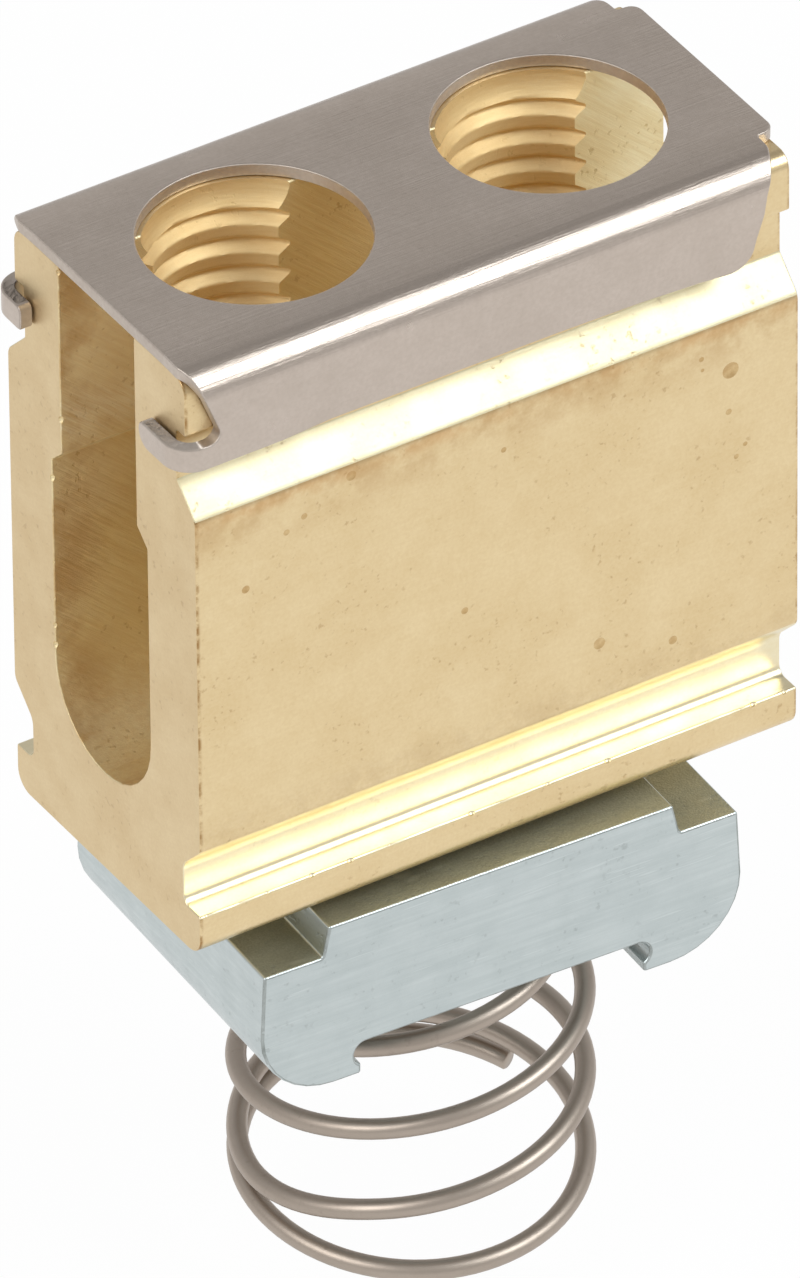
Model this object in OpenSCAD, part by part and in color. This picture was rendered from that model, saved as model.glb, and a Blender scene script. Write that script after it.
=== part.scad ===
// Shield connection clamp: a slotted brass terminal with a slide-on cover, held to a
// C-rail by a slide nut, a fixing screw and a spring.
// X runs along the cable, Z is up, and the origin is where the screw's axis meets the
// body's underside, the face that sits on the rail.

/* [Body] */
// Length of the body along the cable
body_len = 30.8; // [26:0.1:40]
// Height of the body
body_h = 30.45; // [29:0.05:36]
// Width across the flat sides
body_w = 15.3; // [14.6:0.1:18]
// Setback of the two lips from the flat sides
lip_in = 0.7; // [0.4:0.05:1]
// Height of the lips
lip_h = 2.85; // [2.2:0.05:3.4]
// Radius on the lips' outer edges
lip_r = 0.75; // [0.2:0.05:1]
// Depth of the necks below the lips and above the foot
neck_in = 1.45; // [1.2:0.05:1.8]
// Height of the neck below the lips
neck_h = 2.65; // [2.4:0.05:3.4]
// Setback of the foot from the flat sides
foot_in = 0.1; // [0:0.05:0.5]
// Height of the foot
foot_h = 2.25; // [1.8:0.05:3]
// Radius on the foot's lower edges
foot_r = 1; // [0.2:0.05:1.4]
// Height of the groove above the foot
groove_h = 2.1; // [1.2:0.05:2.8]

/* [Slot] */
// Width of the slot between the threaded legs
slot_w = 6.15; // [5:0.05:6.8]
// Width of the slot where the conductor lies
seat_w = 7.7; // [7.6:0.05:8]
// Depth of the narrow part from the top
slot_neck_h = 10; // [8:0.1:13]
// Thickness of the floor under the slot
floor_t = 5.25; // [5.1:0.05:6.5]

/* [Clamping holes] */
// Distance between the two clamping holes
hole_pitch = 15; // [13:0.1:16]
// Nominal diameter of the clamping thread
thread_d = 10; // [9:0.5:10]
// Pitch of the clamping thread
thread_p = 1.5; // [1:0.25:1.5]
// Depth of the threaded hole from the top
thread_h = 20; // [16:0.5:21]
// Diameter of the plain mouth above the thread
mouth_d = 10.2; // [10:0.05:10.4]
// Depth of the plain mouth
mouth_h = 0.8; // [0.3:0.05:1.2]

/* [Fixing screw] */
// Diameter of the screw's thread
screw_d = 4; // [3:0.5:4]
// Length of the screw under its head
screw_len = 10; // [9:0.5:12]
// Diameter of the head
head_d = 7; // [6.4:0.1:7.2]
// Height of the head
head_h = 2.8; // [2.4:0.1:2.9]
// Width across the flats of the socket
socket_w = 2.5; // [2:0.5:3]
// Depth of the socket
socket_h = 1.5; // [1:0.1:1.8]
// Brass left under the head
seat_t = 2.2; // [1.8:0.1:2.3]
// Radial room for the screw in the body
screw_clear = 0.2; // [0.1:0.05:0.3]
// Radial room for the screw in the nut, where the thread is left plain
thread_clear = 0.05; // [0.02:0.01:0.1]

/* [Cover] */
// Thickness of the sheet
sheet_t = 0.65; // [0.5:0.05:0.8]
// Inside radius of the two long bends
bend_r = 0.8; // [0.75:0.05:1.2]
// Length of the flanges from the top of the cover to their lower edge, at the tabs
flange_h = 5.1; // [4.8:0.05:5.6]
// How much further the flanges reach down at the plain end
end_drop = 0.35; // [0:0.05:0.5]
// How far the middle of the flanges' lower edge is hollowed
edge_hollow = 0.2; // [0:0.05:0.4]
// Setback of that hollow from both ends of the body
hollow_back = 5; // [4:0.1:7]
// Length over which the hollow runs out
hollow_run = 4; // [1:0.1:5]
// How far the flanges lean in, from the bends down to the tabs
flange_lean = 0.16; // [0:0.02:0.2]
// Diameter of the two holes in the cover
cover_hole_d = 10.3; // [10:0.05:11]
// How far the plate stands past the body at the plain end
plate_over = 0.15; // [0:0.05:0.6]
// Setback of the plate's plain end from the lips, beside the relief notches
tongue_in = 1.35; // [1.1:0.05:1.8]
// Corner radius of the plate's plain end
tongue_r = 0.6; // [0.2:0.05:1]
// Setback of the bends at the plain end, at the top
bend_back = 0.95; // [0.6:0.05:1.5]
// Further setback of the bends at the plain end, at the side
bend_slant = 0.45; // [0:0.05:0.8]
// Length of the flanges' upright edge at the plain end
end_straight = 1.2; // [0.4:0.1:2]
// Setback of the flanges' lower corner at the plain end
corner_back = 2.15; // [1.6:0.05:3]
// Size of the cut across that lower corner
corner_cut = 0.7; // [0.2:0.05:1]
// Setback of the bends at the hooked end, at the side
hook_back = 0.7; // [0.4:0.05:1.4]
// Further setback of the flanges at the hooked end, at the tabs
hook_slant = 0.95; // [0.2:0.05:1.2]
// Size of the web in the corner between the flanges' hooked end and the tabs
hook_cut = 0.4; // [0.2:0.05:0.5]
// Height of the hooked tabs
tab_h = 1.25; // [1.2:0.05:2]
// Inside radius of the tabs' bends
tab_r = 0.7; // [0.6:0.05:1]
// Reach of the front tab across the end, from the lip's side
front_tab_l = 2.7; // [1.4:0.05:3]
// Reach of the back tab
back_tab_l = 1.6; // [1.4:0.05:3]
// Radius on the front tab's lower corner
front_tip_r = 0.8; // [0.2:0.05:0.85]
// Radius on the back tab's lower corner
back_tip_r = 0.25; // [0.2:0.05:0.85]
// Radius on both tabs' upper corner
tip_top_r = 0.35; // [0.1:0.05:0.35]
// Room between the cover and the body
cover_clear = 0.06; // [0.03:0.01:0.15]

/* [Slide nut] */
// Length of the nut across the rail, at its steps
nut_top_len = 23.85; // [22.5:0.05:24.2]
// Length of the nut lower down
nut_len = 24.2; // [24.2:0.1:26]
// Width of the nut along the rail
nut_w = 16.5; // [14:0.1:18]
// Height of the nut
nut_h = 8.55; // [8.2:0.05:10]
// Gap between the nut and the body
nut_gap = 0.7; // [0.4:0.05:1]
// Length of the raised tongue at its top
nut_tongue_len = 17.3; // [16:0.1:18]
// Length of the raised tongue at its root
nut_root_len = 18; // [18:0.1:19]
// Height of the tongue above the steps
nut_tongue_h = 1.55; // [1.2:0.05:2]
// Radius of the nut's bottom corners
nut_r = 3.6; // [2.5:0.1:4]
// Width of the spring recess between its lips
recess_w = 14.3; // [13.6:0.05:14.8]
// Height of the spring recess
recess_h = 1.65; // [1.5:0.05:1.9]
// Diameter of the grooves that hold the spring's top coil
wire_groove_d = 1.25; // [1.2:0.05:1.4]
// Depth of those grooves behind the lips
wire_groove_bite = 0.32; // [0.25:0.01:0.4]
// Angle by which the loose nut stands turned on its screw
nut_turn = -2.5; // [-4:0.1:4]

/* [Spring] */
// Diameter of the wire
wire_d = 0.95; // [0.8:0.05:1]
// Outside diameter of the free coils
spring_d = 16.4; // [15.8:0.1:17]
// Rise of one free turn
spring_pitch = 4.45; // [4:0.05:5]
// Rise of one turn of the closed end
end_pitch = 1.25; // [1.2:0.05:1.5]
// Turns of the closed end
end_turns = 1.4; // [1.2:0.05:1.5]
// Free turns
free_turns = 2.48; // [2.2:0.02:2.6]
// Turns that lie in the nut's recess
seat_turns = 0.74; // [0.5:0.02:0.8]
// Direction of the wire's lower end
tip_dir = 24; // [0:1:60]
// Lean of the free coils
free_lean = 4.7; // [0:0.1:6]
// Direction towards which the free coils rise
free_lean_dir = -37; // [-180:1:180]
// Lean of the closed end
end_lean = 8; // [0:0.1:9]
// Direction towards which the closed end rises
end_lean_dir = 83; // [-180:1:180]

/* [Hidden] */
$fn = 48;
past = 1;

brass = [0.86, 0.75, 0.53];
stainless = [0.65, 0.61, 0.57];
zinc = [0.76, 0.79, 0.8];
wire_grey = [0.55, 0.51, 0.47];
screw_steel = [0.7, 0.71, 0.72];

// Widths and heights of the body's outline, from the foot up
lip_w = body_w - 2 * lip_in;
neck_w = body_w - 2 * neck_in;
foot_w = body_w - 2 * foot_in;
groove_z = foot_h + groove_h;
side_low_z = groove_z + neck_in;
lip_z = body_h - lip_h;
neck_z = lip_z - neck_h;
side_high_z = neck_z - neck_in;

// Heights of the slot
slot_step_z = body_h - slot_neck_h;
slot_wide_z = slot_step_z - (seat_w - slot_w) / 2;
seat_z = floor_t + seat_w / 2;
tap_d = thread_d - thread_p;

// The cover's bends, its flanges and its ends; hug is the share of the lean that lies beside the lips
hug = 0.75;
bend_z = body_h - bend_r;
flange_l = flange_h - sheet_t - bend_r;
bend_y = lip_w / 2 + cover_clear + hug * flange_lean - bend_r;
tongue_hw = lip_w / 2 - tongue_in;
tab_top = tab_h - flange_l;
rim_y = bend_r - flange_lean;
plate_high_x = body_len / 2 + plate_over;
bend_high_x = plate_high_x - bend_back;
flange_high_x = bend_high_x - bend_slant;
corner_x = plate_high_x - corner_back;
plate_low_x = -body_len / 2 - cover_clear;
tab_turn_x = plate_low_x + tab_r;
hook_x = plate_low_x + hook_back;
tab_x = hook_x + hook_slant;
tab_lap = tab_r / 2;

// Heights of the nut
nut_top_z = -nut_gap;
step_z = nut_top_z - nut_tongue_h;
nut_low_z = nut_top_z - nut_h;
recess_z = nut_low_z + recess_h;
wire_groove_x = recess_w / 2 + wire_groove_bite - wire_groove_d / 2;
wire_groove_z = recess_z - wire_groove_d / 2;

// The spring's wire, as angles along the coil from its lower end
coil_r = (spring_d - wire_d) / 2;
join_a = tip_dir + 360 * end_turns;
seat_a = join_a + 360 * free_turns;
last_a = seat_a + 360 * seat_turns;
join_ease = 120;
seat_ease = 60;
draw_in = 160;
ring_sides = 10;
ring_count = 180;

// Copies a shape to both sides of the middle plane
module both_sides() {
    children();
    mirror([1, 0]) children();
}

// Carries an outline drawn across the cable along it
module along_cable(length) {
    rotate([90, 0, 90]) linear_extrude(length, center = true) children();
}

// Carries an outline drawn along the cable across it
module across_cable(width) {
    rotate([90, 0, 0]) linear_extrude(width, center = true) children();
}

// What lies outside a round corner at a point, in the quadrant that dx and dz give
module corner_waste(x, z, r, dx, dz) {
    translate([x - dx * r, z - dz * r]) difference() {
        translate([min(0, dx * (r + past)), min(0, dz * (r + past))]) square(r + past);
        circle(r);
    }
}

function mix(a, b, w) = a + (b - a) * w;

function mirrored(half) = concat(half, [for (i = [len(half) - 1:-1:0]) [-half[i][0], half[i][1]]]);

module body_outline() {
    half = [
        [foot_w / 2, 0], [foot_w / 2, foot_h], [neck_w / 2, foot_h], [neck_w / 2, groove_z],
        [body_w / 2, side_low_z], [body_w / 2, side_high_z], [neck_w / 2, neck_z],
        [neck_w / 2, lip_z], [lip_w / 2, lip_z], [lip_w / 2, body_h]
    ];
    difference() {
        polygon(mirrored(half));
        both_sides() {
            corner_waste(lip_w / 2, body_h, lip_r, 1, 1);
            corner_waste(foot_w / 2, 0, foot_r, 1, -1);
        }
    }
}

module slot_outline() {
    half = [
        [seat_w / 2, seat_z], [seat_w / 2, slot_wide_z],
        [slot_w / 2, slot_step_z], [slot_w / 2, body_h + past]
    ];
    polygon(mirrored(half));
    translate([0, seat_z]) circle(d = seat_w);
}

// A threaded hole at the thread's core diameter, with its plain mouth
module clamping_hole() {
    lead_h = (mouth_d - tap_d) / 2;
    translate([0, 0, body_h - thread_h]) cylinder(d = tap_d, h = thread_h + past);
    translate([0, 0, body_h - mouth_h]) cylinder(d = mouth_d, h = mouth_h + past);
    translate([0, 0, body_h - mouth_h - lead_h]) cylinder(d1 = tap_d, d2 = mouth_d, h = lead_h);
}

module terminal_body() {
    color(brass) difference() {
        along_cable(body_len) difference() {
            body_outline();
            slot_outline();
        }
        for (x = [-hole_pitch / 2, hole_pitch / 2]) translate([x, 0, 0]) clamping_hole();
        translate([0, 0, -past]) cylinder(d = screw_d + 2 * screw_clear, h = floor_t + past);
        translate([0, 0, seat_t]) cylinder(d = head_d + 2 * screw_clear, h = floor_t + seat_w / 4 - seat_t);
    }
}

// The plate with its two holes and the rounded tongue at its plain end
module cover_plate() {
    difference() {
        translate([plate_low_x, -bend_y]) square([plate_high_x - plate_low_x, 2 * bend_y]);
        for (x = [-hole_pitch / 2, hole_pitch / 2]) translate([x, 0]) circle(d = cover_hole_d);
        for (side = [-1, 1]) {
            corner_waste(plate_high_x, side * tongue_hw, tongue_r, 1, side);
            translate([bend_high_x, side * (tongue_hw + past / 2) - past / 2]) square([bend_back + past, past]);
        }
    }
}

// One long bend, drawn across the cable about the bend's own axis
module bend_section() {
    intersection() {
        difference() {
            circle(bend_r + sheet_t);
            circle(bend_r);
        }
        square(bend_r + sheet_t);
    }
}

// The bend's slanted ends, lengthwise and up from its axis
module bend_outline() {
    top = bend_r + sheet_t;
    polygon([[plate_low_x, top], [hook_x, 0], [flange_high_x, 0], [bend_high_x, top]]);
}

// A flange, drawn across the cable: it leans in down to the tabs' height and hangs straight below
module flange_section() {
    polygon([
        [bend_r, 0], [rim_y, tab_top], [rim_y, -flange_l - end_drop],
        [rim_y + sheet_t, -flange_l - end_drop], [rim_y + sheet_t, tab_top], [bend_r + sheet_t, 0]
    ]);
}

// A flange's outline, lengthwise and down from the bend's axis, with its slanted ends and its hollow lower edge
module flange_outline() {
    hollow_x = body_len / 2 - hollow_back;
    polygon([
        [hook_x, 0], [mix(hook_x, tab_x, (tab_top + hook_cut) / tab_top), tab_top + hook_cut],
        [tab_x - hook_cut, tab_top], [tab_turn_x, tab_top], [tab_turn_x, -flange_l],
        [-hollow_x, -flange_l], [hollow_run - hollow_x, edge_hollow - flange_l],
        [hollow_x - hollow_run, edge_hollow - flange_l], [hollow_x, -flange_l],
        [corner_x - corner_cut, -flange_l - end_drop], [corner_x, corner_cut - flange_l - end_drop],
        [flange_high_x, -end_straight], [flange_high_x, 0]
    ]);
}

// A tab's bend and its straight end, seen from above about the bend of the cover
module tab_outline(tip) {
    turn_y = rim_y - tab_r;
    outer = tab_r + sheet_t;
    intersection() {
        translate([tab_turn_x, turn_y]) difference() {
            circle(outer);
            circle(tab_r);
        }
        translate([tab_turn_x - outer, turn_y]) square(outer);
    }
    translate([plate_low_x - sheet_t, tip]) square([sheet_t, turn_y - tip]);
    translate([tab_turn_x, rim_y]) square([tab_lap, sheet_t]);
}

// One bend and its flange, with the hooked tab at the flange's end
module flange(tab_l, tip_r) {
    tip = lip_w / 2 - tab_l - bend_y;
    translate([0, bend_y, bend_z]) {
        intersection() {
            along_cable(2 * body_len) bend_section();
            across_cable(body_w) bend_outline();
        }
        intersection() {
            along_cable(2 * body_len) flange_section();
            across_cable(body_w) flange_outline();
        }
        translate([0, 0, -flange_l]) difference() {
            linear_extrude(tab_h) tab_outline(tip);
            along_cable(2 * body_len) {
                corner_waste(tip, 0, tip_r, -1, -1);
                corner_waste(tip, tab_h, tip_top_r, -1, 1);
            }
        }
    }
}

module cover_clip() {
    color(stainless) {
        translate([0, 0, body_h]) linear_extrude(sheet_t) cover_plate();
        flange(back_tab_l, back_tip_r);
        mirror([0, 1, 0]) flange(front_tab_l, front_tip_r);
    }
}

module nut_outline() {
    half = [
        [nut_len / 2, nut_low_z], [nut_len / 2, nut_low_z + nut_r], [nut_top_len / 2, step_z],
        [nut_root_len / 2, step_z], [nut_tongue_len / 2, nut_top_z]
    ];
    difference() {
        polygon(mirrored(half));
        translate([-recess_w / 2, nut_low_z - past]) square([recess_w, past + wire_groove_z - nut_low_z]);
        translate([-wire_groove_x, wire_groove_z - past / 2])
            square([2 * wire_groove_x, recess_z - wire_groove_z + past / 2]);
        both_sides() {
            corner_waste(nut_len / 2, nut_low_z, nut_r, 1, -1);
            translate([wire_groove_x, wire_groove_z]) circle(d = wire_groove_d);
        }
    }
}

module slide_nut() {
    color(zinc) rotate([0, 0, nut_turn]) difference() {
        across_cable(nut_w) nut_outline();
        translate([0, 0, nut_low_z]) cylinder(d = screw_d + 2 * thread_clear, h = nut_h + past);
    }
}

function ease(x) = let (c = min(1, max(0, x))) c * c * (3 - 2 * c);
function lean_z(a, angle, dir) = coil_r * tan(angle) * cos(a - dir);

// Height of the free coils, which hang from the seat in the nut
function free_z(a) =
    wire_groove_z + spring_pitch * (a - seat_a) / 360
    + lean_z(a, free_lean, free_lean_dir) - lean_z(seat_a, free_lean, free_lean_dir);

// Height of the closed end, which hangs from the free coils
function end_z(a) =
    free_z(join_a) + end_pitch * (a - join_a) / 360
    + lean_z(a, end_lean, end_lean_dir) - lean_z(join_a, end_lean, end_lean_dir);

function wire_z(a) =
    mix(
        mix(end_z(a), free_z(a), ease((a - join_a) / join_ease + 0.5)),
        wire_groove_z,
        ease((a - seat_a) / seat_ease + 1)
    );

function wire_radius(a) = mix(coil_r, wire_groove_x, ease((a - seat_a) / draw_in + 1));

// One ring of points round the wire at an angle along the coil
function wire_ring(a) = [
    for (k = [0:ring_sides - 1])
        let (u = 360 * k / ring_sides, r = wire_radius(a) + wire_d / 2 * cos(u))
        [r * cos(a), r * sin(a), wire_z(a) + wire_d / 2 * sin(u)]
];

module spring() {
    points = [for (i = [0:ring_count]) each wire_ring(mix(tip_dir, last_a, i / ring_count))];
    sides = [
        for (i = [0:ring_count - 1], k = [0:ring_sides - 1])
            let (a = i * ring_sides + k, b = i * ring_sides + (k + 1) % ring_sides)
            each [[a, b, b + ring_sides], [a, b + ring_sides, a + ring_sides]]
    ];
    last = ring_count * ring_sides;
    low_end = [for (k = [ring_sides - 1:-1:0]) k];
    high_end = [for (k = [0:ring_sides - 1]) last + k];
    color(wire_grey) polyhedron(points, concat(sides, [low_end, high_end]));
}

module fixing_screw() {
    tip_cone = screw_d / 8;
    color(screw_steel) translate([0, 0, seat_t]) difference() {
        union() {
            cylinder(d = head_d, h = head_h);
            translate([0, 0, tip_cone - screw_len]) cylinder(d = screw_d, h = screw_len - tip_cone);
            translate([0, 0, -screw_len]) cylinder(d1 = screw_d - 2 * tip_cone, d2 = screw_d, h = tip_cone);
        }
        translate([0, 0, head_h - socket_h]) cylinder(d = socket_w / cos(30), h = socket_h + past, $fn = 6);
    }
}

terminal_body();
cover_clip();
slide_nut();
spring();
fixing_screw();
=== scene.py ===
"""Looks of a shield connection clamp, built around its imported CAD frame.

Every length in this file is in millimetres, in the CAD's own frame: X runs along the cable slot with
the cover's hooked end at -X, Z is up, and the origin is on the body's underside, on the fixing
screw's axis. Lengths become metres when a mesh is made.
"""

from __future__ import annotations

import logging
import math
from dataclasses import dataclass, replace
from enum import Enum

import bpy
import numpy as np
from mathutils import Matrix, Vector
from mathutils.geometry import delaunay_2d_cdt

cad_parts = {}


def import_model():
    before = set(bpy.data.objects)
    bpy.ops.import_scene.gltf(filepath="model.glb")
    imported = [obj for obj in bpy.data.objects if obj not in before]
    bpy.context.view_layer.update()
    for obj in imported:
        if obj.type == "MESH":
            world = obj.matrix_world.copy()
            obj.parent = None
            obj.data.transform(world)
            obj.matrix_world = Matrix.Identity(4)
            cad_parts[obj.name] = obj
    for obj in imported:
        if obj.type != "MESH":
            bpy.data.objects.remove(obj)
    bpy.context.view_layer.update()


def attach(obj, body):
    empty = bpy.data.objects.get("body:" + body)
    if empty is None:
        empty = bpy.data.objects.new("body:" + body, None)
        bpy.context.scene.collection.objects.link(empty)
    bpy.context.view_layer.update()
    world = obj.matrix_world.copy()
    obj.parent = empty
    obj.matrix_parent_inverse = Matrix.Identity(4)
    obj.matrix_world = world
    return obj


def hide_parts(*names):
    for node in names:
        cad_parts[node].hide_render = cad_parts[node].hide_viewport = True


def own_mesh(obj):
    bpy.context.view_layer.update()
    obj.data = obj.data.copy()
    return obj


MM = 0.001
HAIR = 0.01
SAME_POINT = 1e-5
RIDGE_FOOT = 0.31
RIDGE_FLANK = 0.26
MIX_COLOUR_INPUTS = (0, 6, 7)
MIX_COLOUR_OUTPUT = 2
WHITE = (1, 1, 1, 1)
LOG = logging.getLogger("clamp")

Array = np.ndarray
Faces = list[list[int]]
Shape = tuple[Array, Faces]
Triple = tuple[float, float, float]
Piece = bpy.types.Object
Tree = bpy.types.NodeTree
Node = bpy.types.Node
Socket = bpy.types.NodeSocket


class Axis(Enum):
    """The way an outline is carried to make a prism."""

    CABLE = "X"
    ACROSS = "Y"


class Zone(Enum):
    """How a face of the body was made or where it lies, as the place of its finish in the body's list. The
    shoulder and groove finishes are paler for a painted highlight, and the dented one is darker for painted
    shade.
    """

    DRAWN = 0
    SAWN = 1
    SLOTTED = 2
    TAPPED = 3
    SHOULDER = 4
    GROOVE = 5
    DENTED = 6


class Face(Enum):
    """Where a face of the nut is, as the place of its finish in the nut's list."""

    SIDE = 0
    TOP = 1
    EDGE = 2


# Outlines, grids and meshes


def unit(rows: Array) -> Array:
    """Each row of an array divided by its length."""
    return rows / np.linalg.norm(rows, axis=1, keepdims=True)


def round_angles(count: int) -> Array:
    """Even angles round a full turn, from 0."""
    return 2 * np.pi * np.arange(count) / count


def mirrored(half: Array) -> Array:
    """Corners and radii of a right half, followed by those of the left half, as one closed outline."""
    return np.concatenate([half, half[::-1] * (-1, 1, 1)])


def rounded_loop(corners: Array, steps: int = 9) -> Array:
    """Closed outline whose corners are replaced by arcs.

    With unit edges a and b from corner P to its neighbours and h half the angle between them, the
    arc's centre is P + (a + b) / |a + b| * r / sin h, and it runs between the points
    P + a * r / tan h and P + b * r / tan h.

    Args:
        corners: (n, 3) rows of a corner's two coordinates and its radius, in order round the outline.
        steps: points on each arc.

    Returns:
        (m, 2) points round the outline, without doubles.
    """
    place, radii = corners[:, :2], corners[:, 2]
    to_last = unit(np.roll(place, 1, 0) - place)
    to_next = unit(np.roll(place, -1, 0) - place)
    half = np.arccos(np.clip((to_last * to_next).sum(1), -1, 1)) / 2
    centre = place + unit(to_last + to_next) * (radii / np.sin(half))[:, None]
    reach = (radii / np.tan(half))[:, None]
    first = place + to_last * reach - centre
    last = place + to_next * reach - centre
    start = np.arctan2(first[:, 1], first[:, 0])
    sweep = np.arctan2(last[:, 1], last[:, 0]) - start
    sweep = (sweep + np.pi) % (2 * np.pi) - np.pi
    angle = start[:, None] + sweep[:, None] * np.linspace(0, 1, steps)
    ring = centre[:, None] + radii[:, None, None] * np.stack([np.cos(angle), np.sin(angle)], -1)
    loop = ring.reshape(-1, 2)
    return loop[np.linalg.norm(loop - np.roll(loop, 1, 0), axis=1) > SAME_POINT]


def inset_loop(loop: Array, depth: float) -> Array:
    """Outline moved inwards, for a loop that runs counter-clockwise.

    A point moves by depth * (n1 + n2) / (1 + n1 . n2), with n1 and n2 the inward normals of its edges.

    Args:
        loop: (n, 2) points.
        depth: distance to move, negative for outwards.

    Returns:
        (n, 2) moved points.
    """
    edge = unit(np.roll(loop, -1, 0) - loop)
    after = np.stack([-edge[:, 1], edge[:, 0]], 1)
    before = np.roll(after, 1, 0)
    share = 1 + (after * before).sum(1, keepdims=True)
    return loop + depth * (after + before) / share


def tube_faces(rows: int, cols: int) -> Faces:
    """Faces of a closed tube: quads between its rows, and one flat face at each end.

    Args:
        rows: points along the tube.
        cols: points round it.

    Returns:
        Point indices of each face.
    """
    row, col = np.meshgrid(np.arange(rows - 1) * cols, np.arange(cols), indexing="ij")
    after = (col + 1) % cols
    quads = np.stack([row + col, row + after, row + cols + after, row + cols + col], -1)
    ends = [list(range(cols - 1, -1, -1)), list(range((rows - 1) * cols, rows * cols))]
    return quads.reshape(-1, 4).tolist() + ends


def prism(loop: Array, width: float, edge: float, axis: Axis, steps: int = 4) -> Shape:
    """An outline carried straight along an axis, with its two end rims rounded.

    At angle f from 0 to 90 degrees in an end's rim the outline is moved in by edge * (1 - sin f) and
    stands edge * (1 - cos f) inside the end.

    Args:
        loop: (n, 2) outline, counter-clockwise, in YZ for Axis.CABLE and XZ for Axis.ACROSS.
        width: how far it is carried, half to each side of the middle.
        edge: radius of the rims.
        axis: the way it is carried.
        steps: points across each rim.

    Returns:
        Points and faces, facing outwards.
    """
    angle = np.linspace(0, np.pi / 2, steps)
    depth = edge * (1 - np.sin(angle))
    along = edge * (1 - np.cos(angle))
    depths = np.concatenate([depth, depth[::-1]])
    places = np.concatenate([along - width / 2, width / 2 - along[::-1]])
    rings = np.stack([inset_loop(loop, d) for d in depths])
    place = np.broadcast_to(places[:, None, None], rings.shape[:2] + (1,))
    if axis is Axis.CABLE:
        points = np.concatenate([place, rings], -1)
    else:
        points = np.concatenate([rings[..., :1], -place, rings[..., 1:]], -1)
    return points.reshape(-1, 3), tube_faces(len(depths), len(loop))


def turned(radius: Array, height: Array, x: float = 0.0) -> Shape:
    """Surface round a vertical axis whose radius may change round it and along it.

    The point at angle t and row k is (x + r cos t, r sin t, z), with r and z from the two grids.

    Args:
        radius: (rows, cols) radii, from the lower end up.
        height: (rows, cols) heights.
        x: the axis's X.

    Returns:
        Points and faces, facing outwards.
    """
    angle = round_angles(radius.shape[1])
    points = np.stack([x + radius * np.cos(angle), radius * np.sin(angle), height], -1)
    return points.reshape(-1, 3), tube_faces(*radius.shape)


def thread_wave(angle: Array, height: Array, pitch: float, shift: float = 0.0) -> Array:
    """How far a right-handed thread's ridge rises, as a share of its depth, 0 beside it and 1 on top.

    The phase z / pitch - angle / 360 + shift is constant along the helix. From RIDGE_FOOT of a pitch to
    each side of the ridge's middle, the share rises evenly over RIDGE_FLANK of a pitch.

    Args:
        angle: angles round the axis.
        height: heights along it.
        pitch: the thread's pitch.
        shift: how far the thread is turned, in turns.

    Returns:
        The share at each angle and height.
    """
    phase = height / pitch - angle / (2 * np.pi) + shift
    away = np.abs(phase - np.floor(phase) - 0.5)
    return np.clip((RIDGE_FOOT - away) / RIDGE_FLANK, 0, 1)


def new_object(name: str, data: bpy.types.ID) -> Piece:
    """New object in the scene that holds the data.

    Args:
        name: the object's name.
        data: its mesh, lamp or camera.

    Returns:
        The object.
    """
    made = bpy.data.objects.new(name, data)
    bpy.context.scene.collection.objects.link(made)
    return made


def make_piece(name: str, points: Array, faces: Faces, sharp: float = 40) -> Piece:
    """Mesh object at the origin, shaded smooth apart from its sharp edges.

    Args:
        name: the piece's name.
        points: (n, 3) points in millimetres.
        faces: point indices of each face.
        sharp: edges that turn by more than this angle in degrees stay sharp.

    Returns:
        The object.
    """
    mesh = bpy.data.meshes.new(name)
    mesh.from_pydata((points * MM).tolist(), [], faces)
    mesh.update()
    piece = new_object(name, mesh)
    soften(piece, sharp)
    return piece


def soften(piece: Piece, sharp: float = 40) -> None:
    """Smooth shading, with edges sharper than an angle in degrees kept."""
    piece.data.shade_smooth()
    piece.data.set_sharp_from_angle(angle=math.radians(sharp))


def cut_away(piece: Piece, cutters: list[Piece]) -> None:
    """Takes the cutters' volumes out of a piece for good, and removes the cutters.

    Each vertex then takes its normal from the largest faces round it, so that flat faces look flat.

    Args:
        piece: the piece.
        cutters: closed meshes.
    """
    for cutter in cutters:
        cut = piece.modifiers.new(cutter.name, "BOOLEAN")
        cut.operation, cut.solver, cut.object = "DIFFERENCE", "EXACT", cutter
    whole = piece.data
    seen = piece.evaluated_get(bpy.context.evaluated_depsgraph_get())
    piece.data = bpy.data.meshes.new_from_object(seen)
    piece.modifiers.clear()
    piece.data.name = piece.name
    bpy.data.meshes.remove(whole)
    for cutter in cutters:
        bpy.data.objects.remove(cutter)
    soften(piece)
    even = piece.modifiers.new("even_shading", "WEIGHTED_NORMAL")
    even.keep_sharp = True
    even.weight = 100


def face_values(piece: Piece, kind: str, width: int) -> Array:
    """A value of each face of a piece.

    Args:
        piece: the piece.
        kind: Blender's name of the value.
        width: how many numbers it has.

    Returns:
        (width, faces) numbers.
    """
    values = np.empty(len(piece.data.polygons) * width)
    piece.data.polygons.foreach_get(kind, values)
    return values.reshape(-1, width).T


def mark_faces(piece: Piece, index: Array) -> None:
    """Gives each face of a piece the place of its finish in the piece's list."""
    piece.data.polygons.foreach_set("material_index", index.astype(np.int32))


# Finishes


def feed(tree: Tree, socket: Socket, value: object) -> None:
    """Links an output to an input, or sets the input to a plain value.

    Args:
        tree: the node tree.
        socket: the input.
        value: the output or the value.
    """
    if isinstance(value, bpy.types.NodeSocket):
        tree.links.new(value, socket)
    else:
        socket.default_value = value


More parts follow.
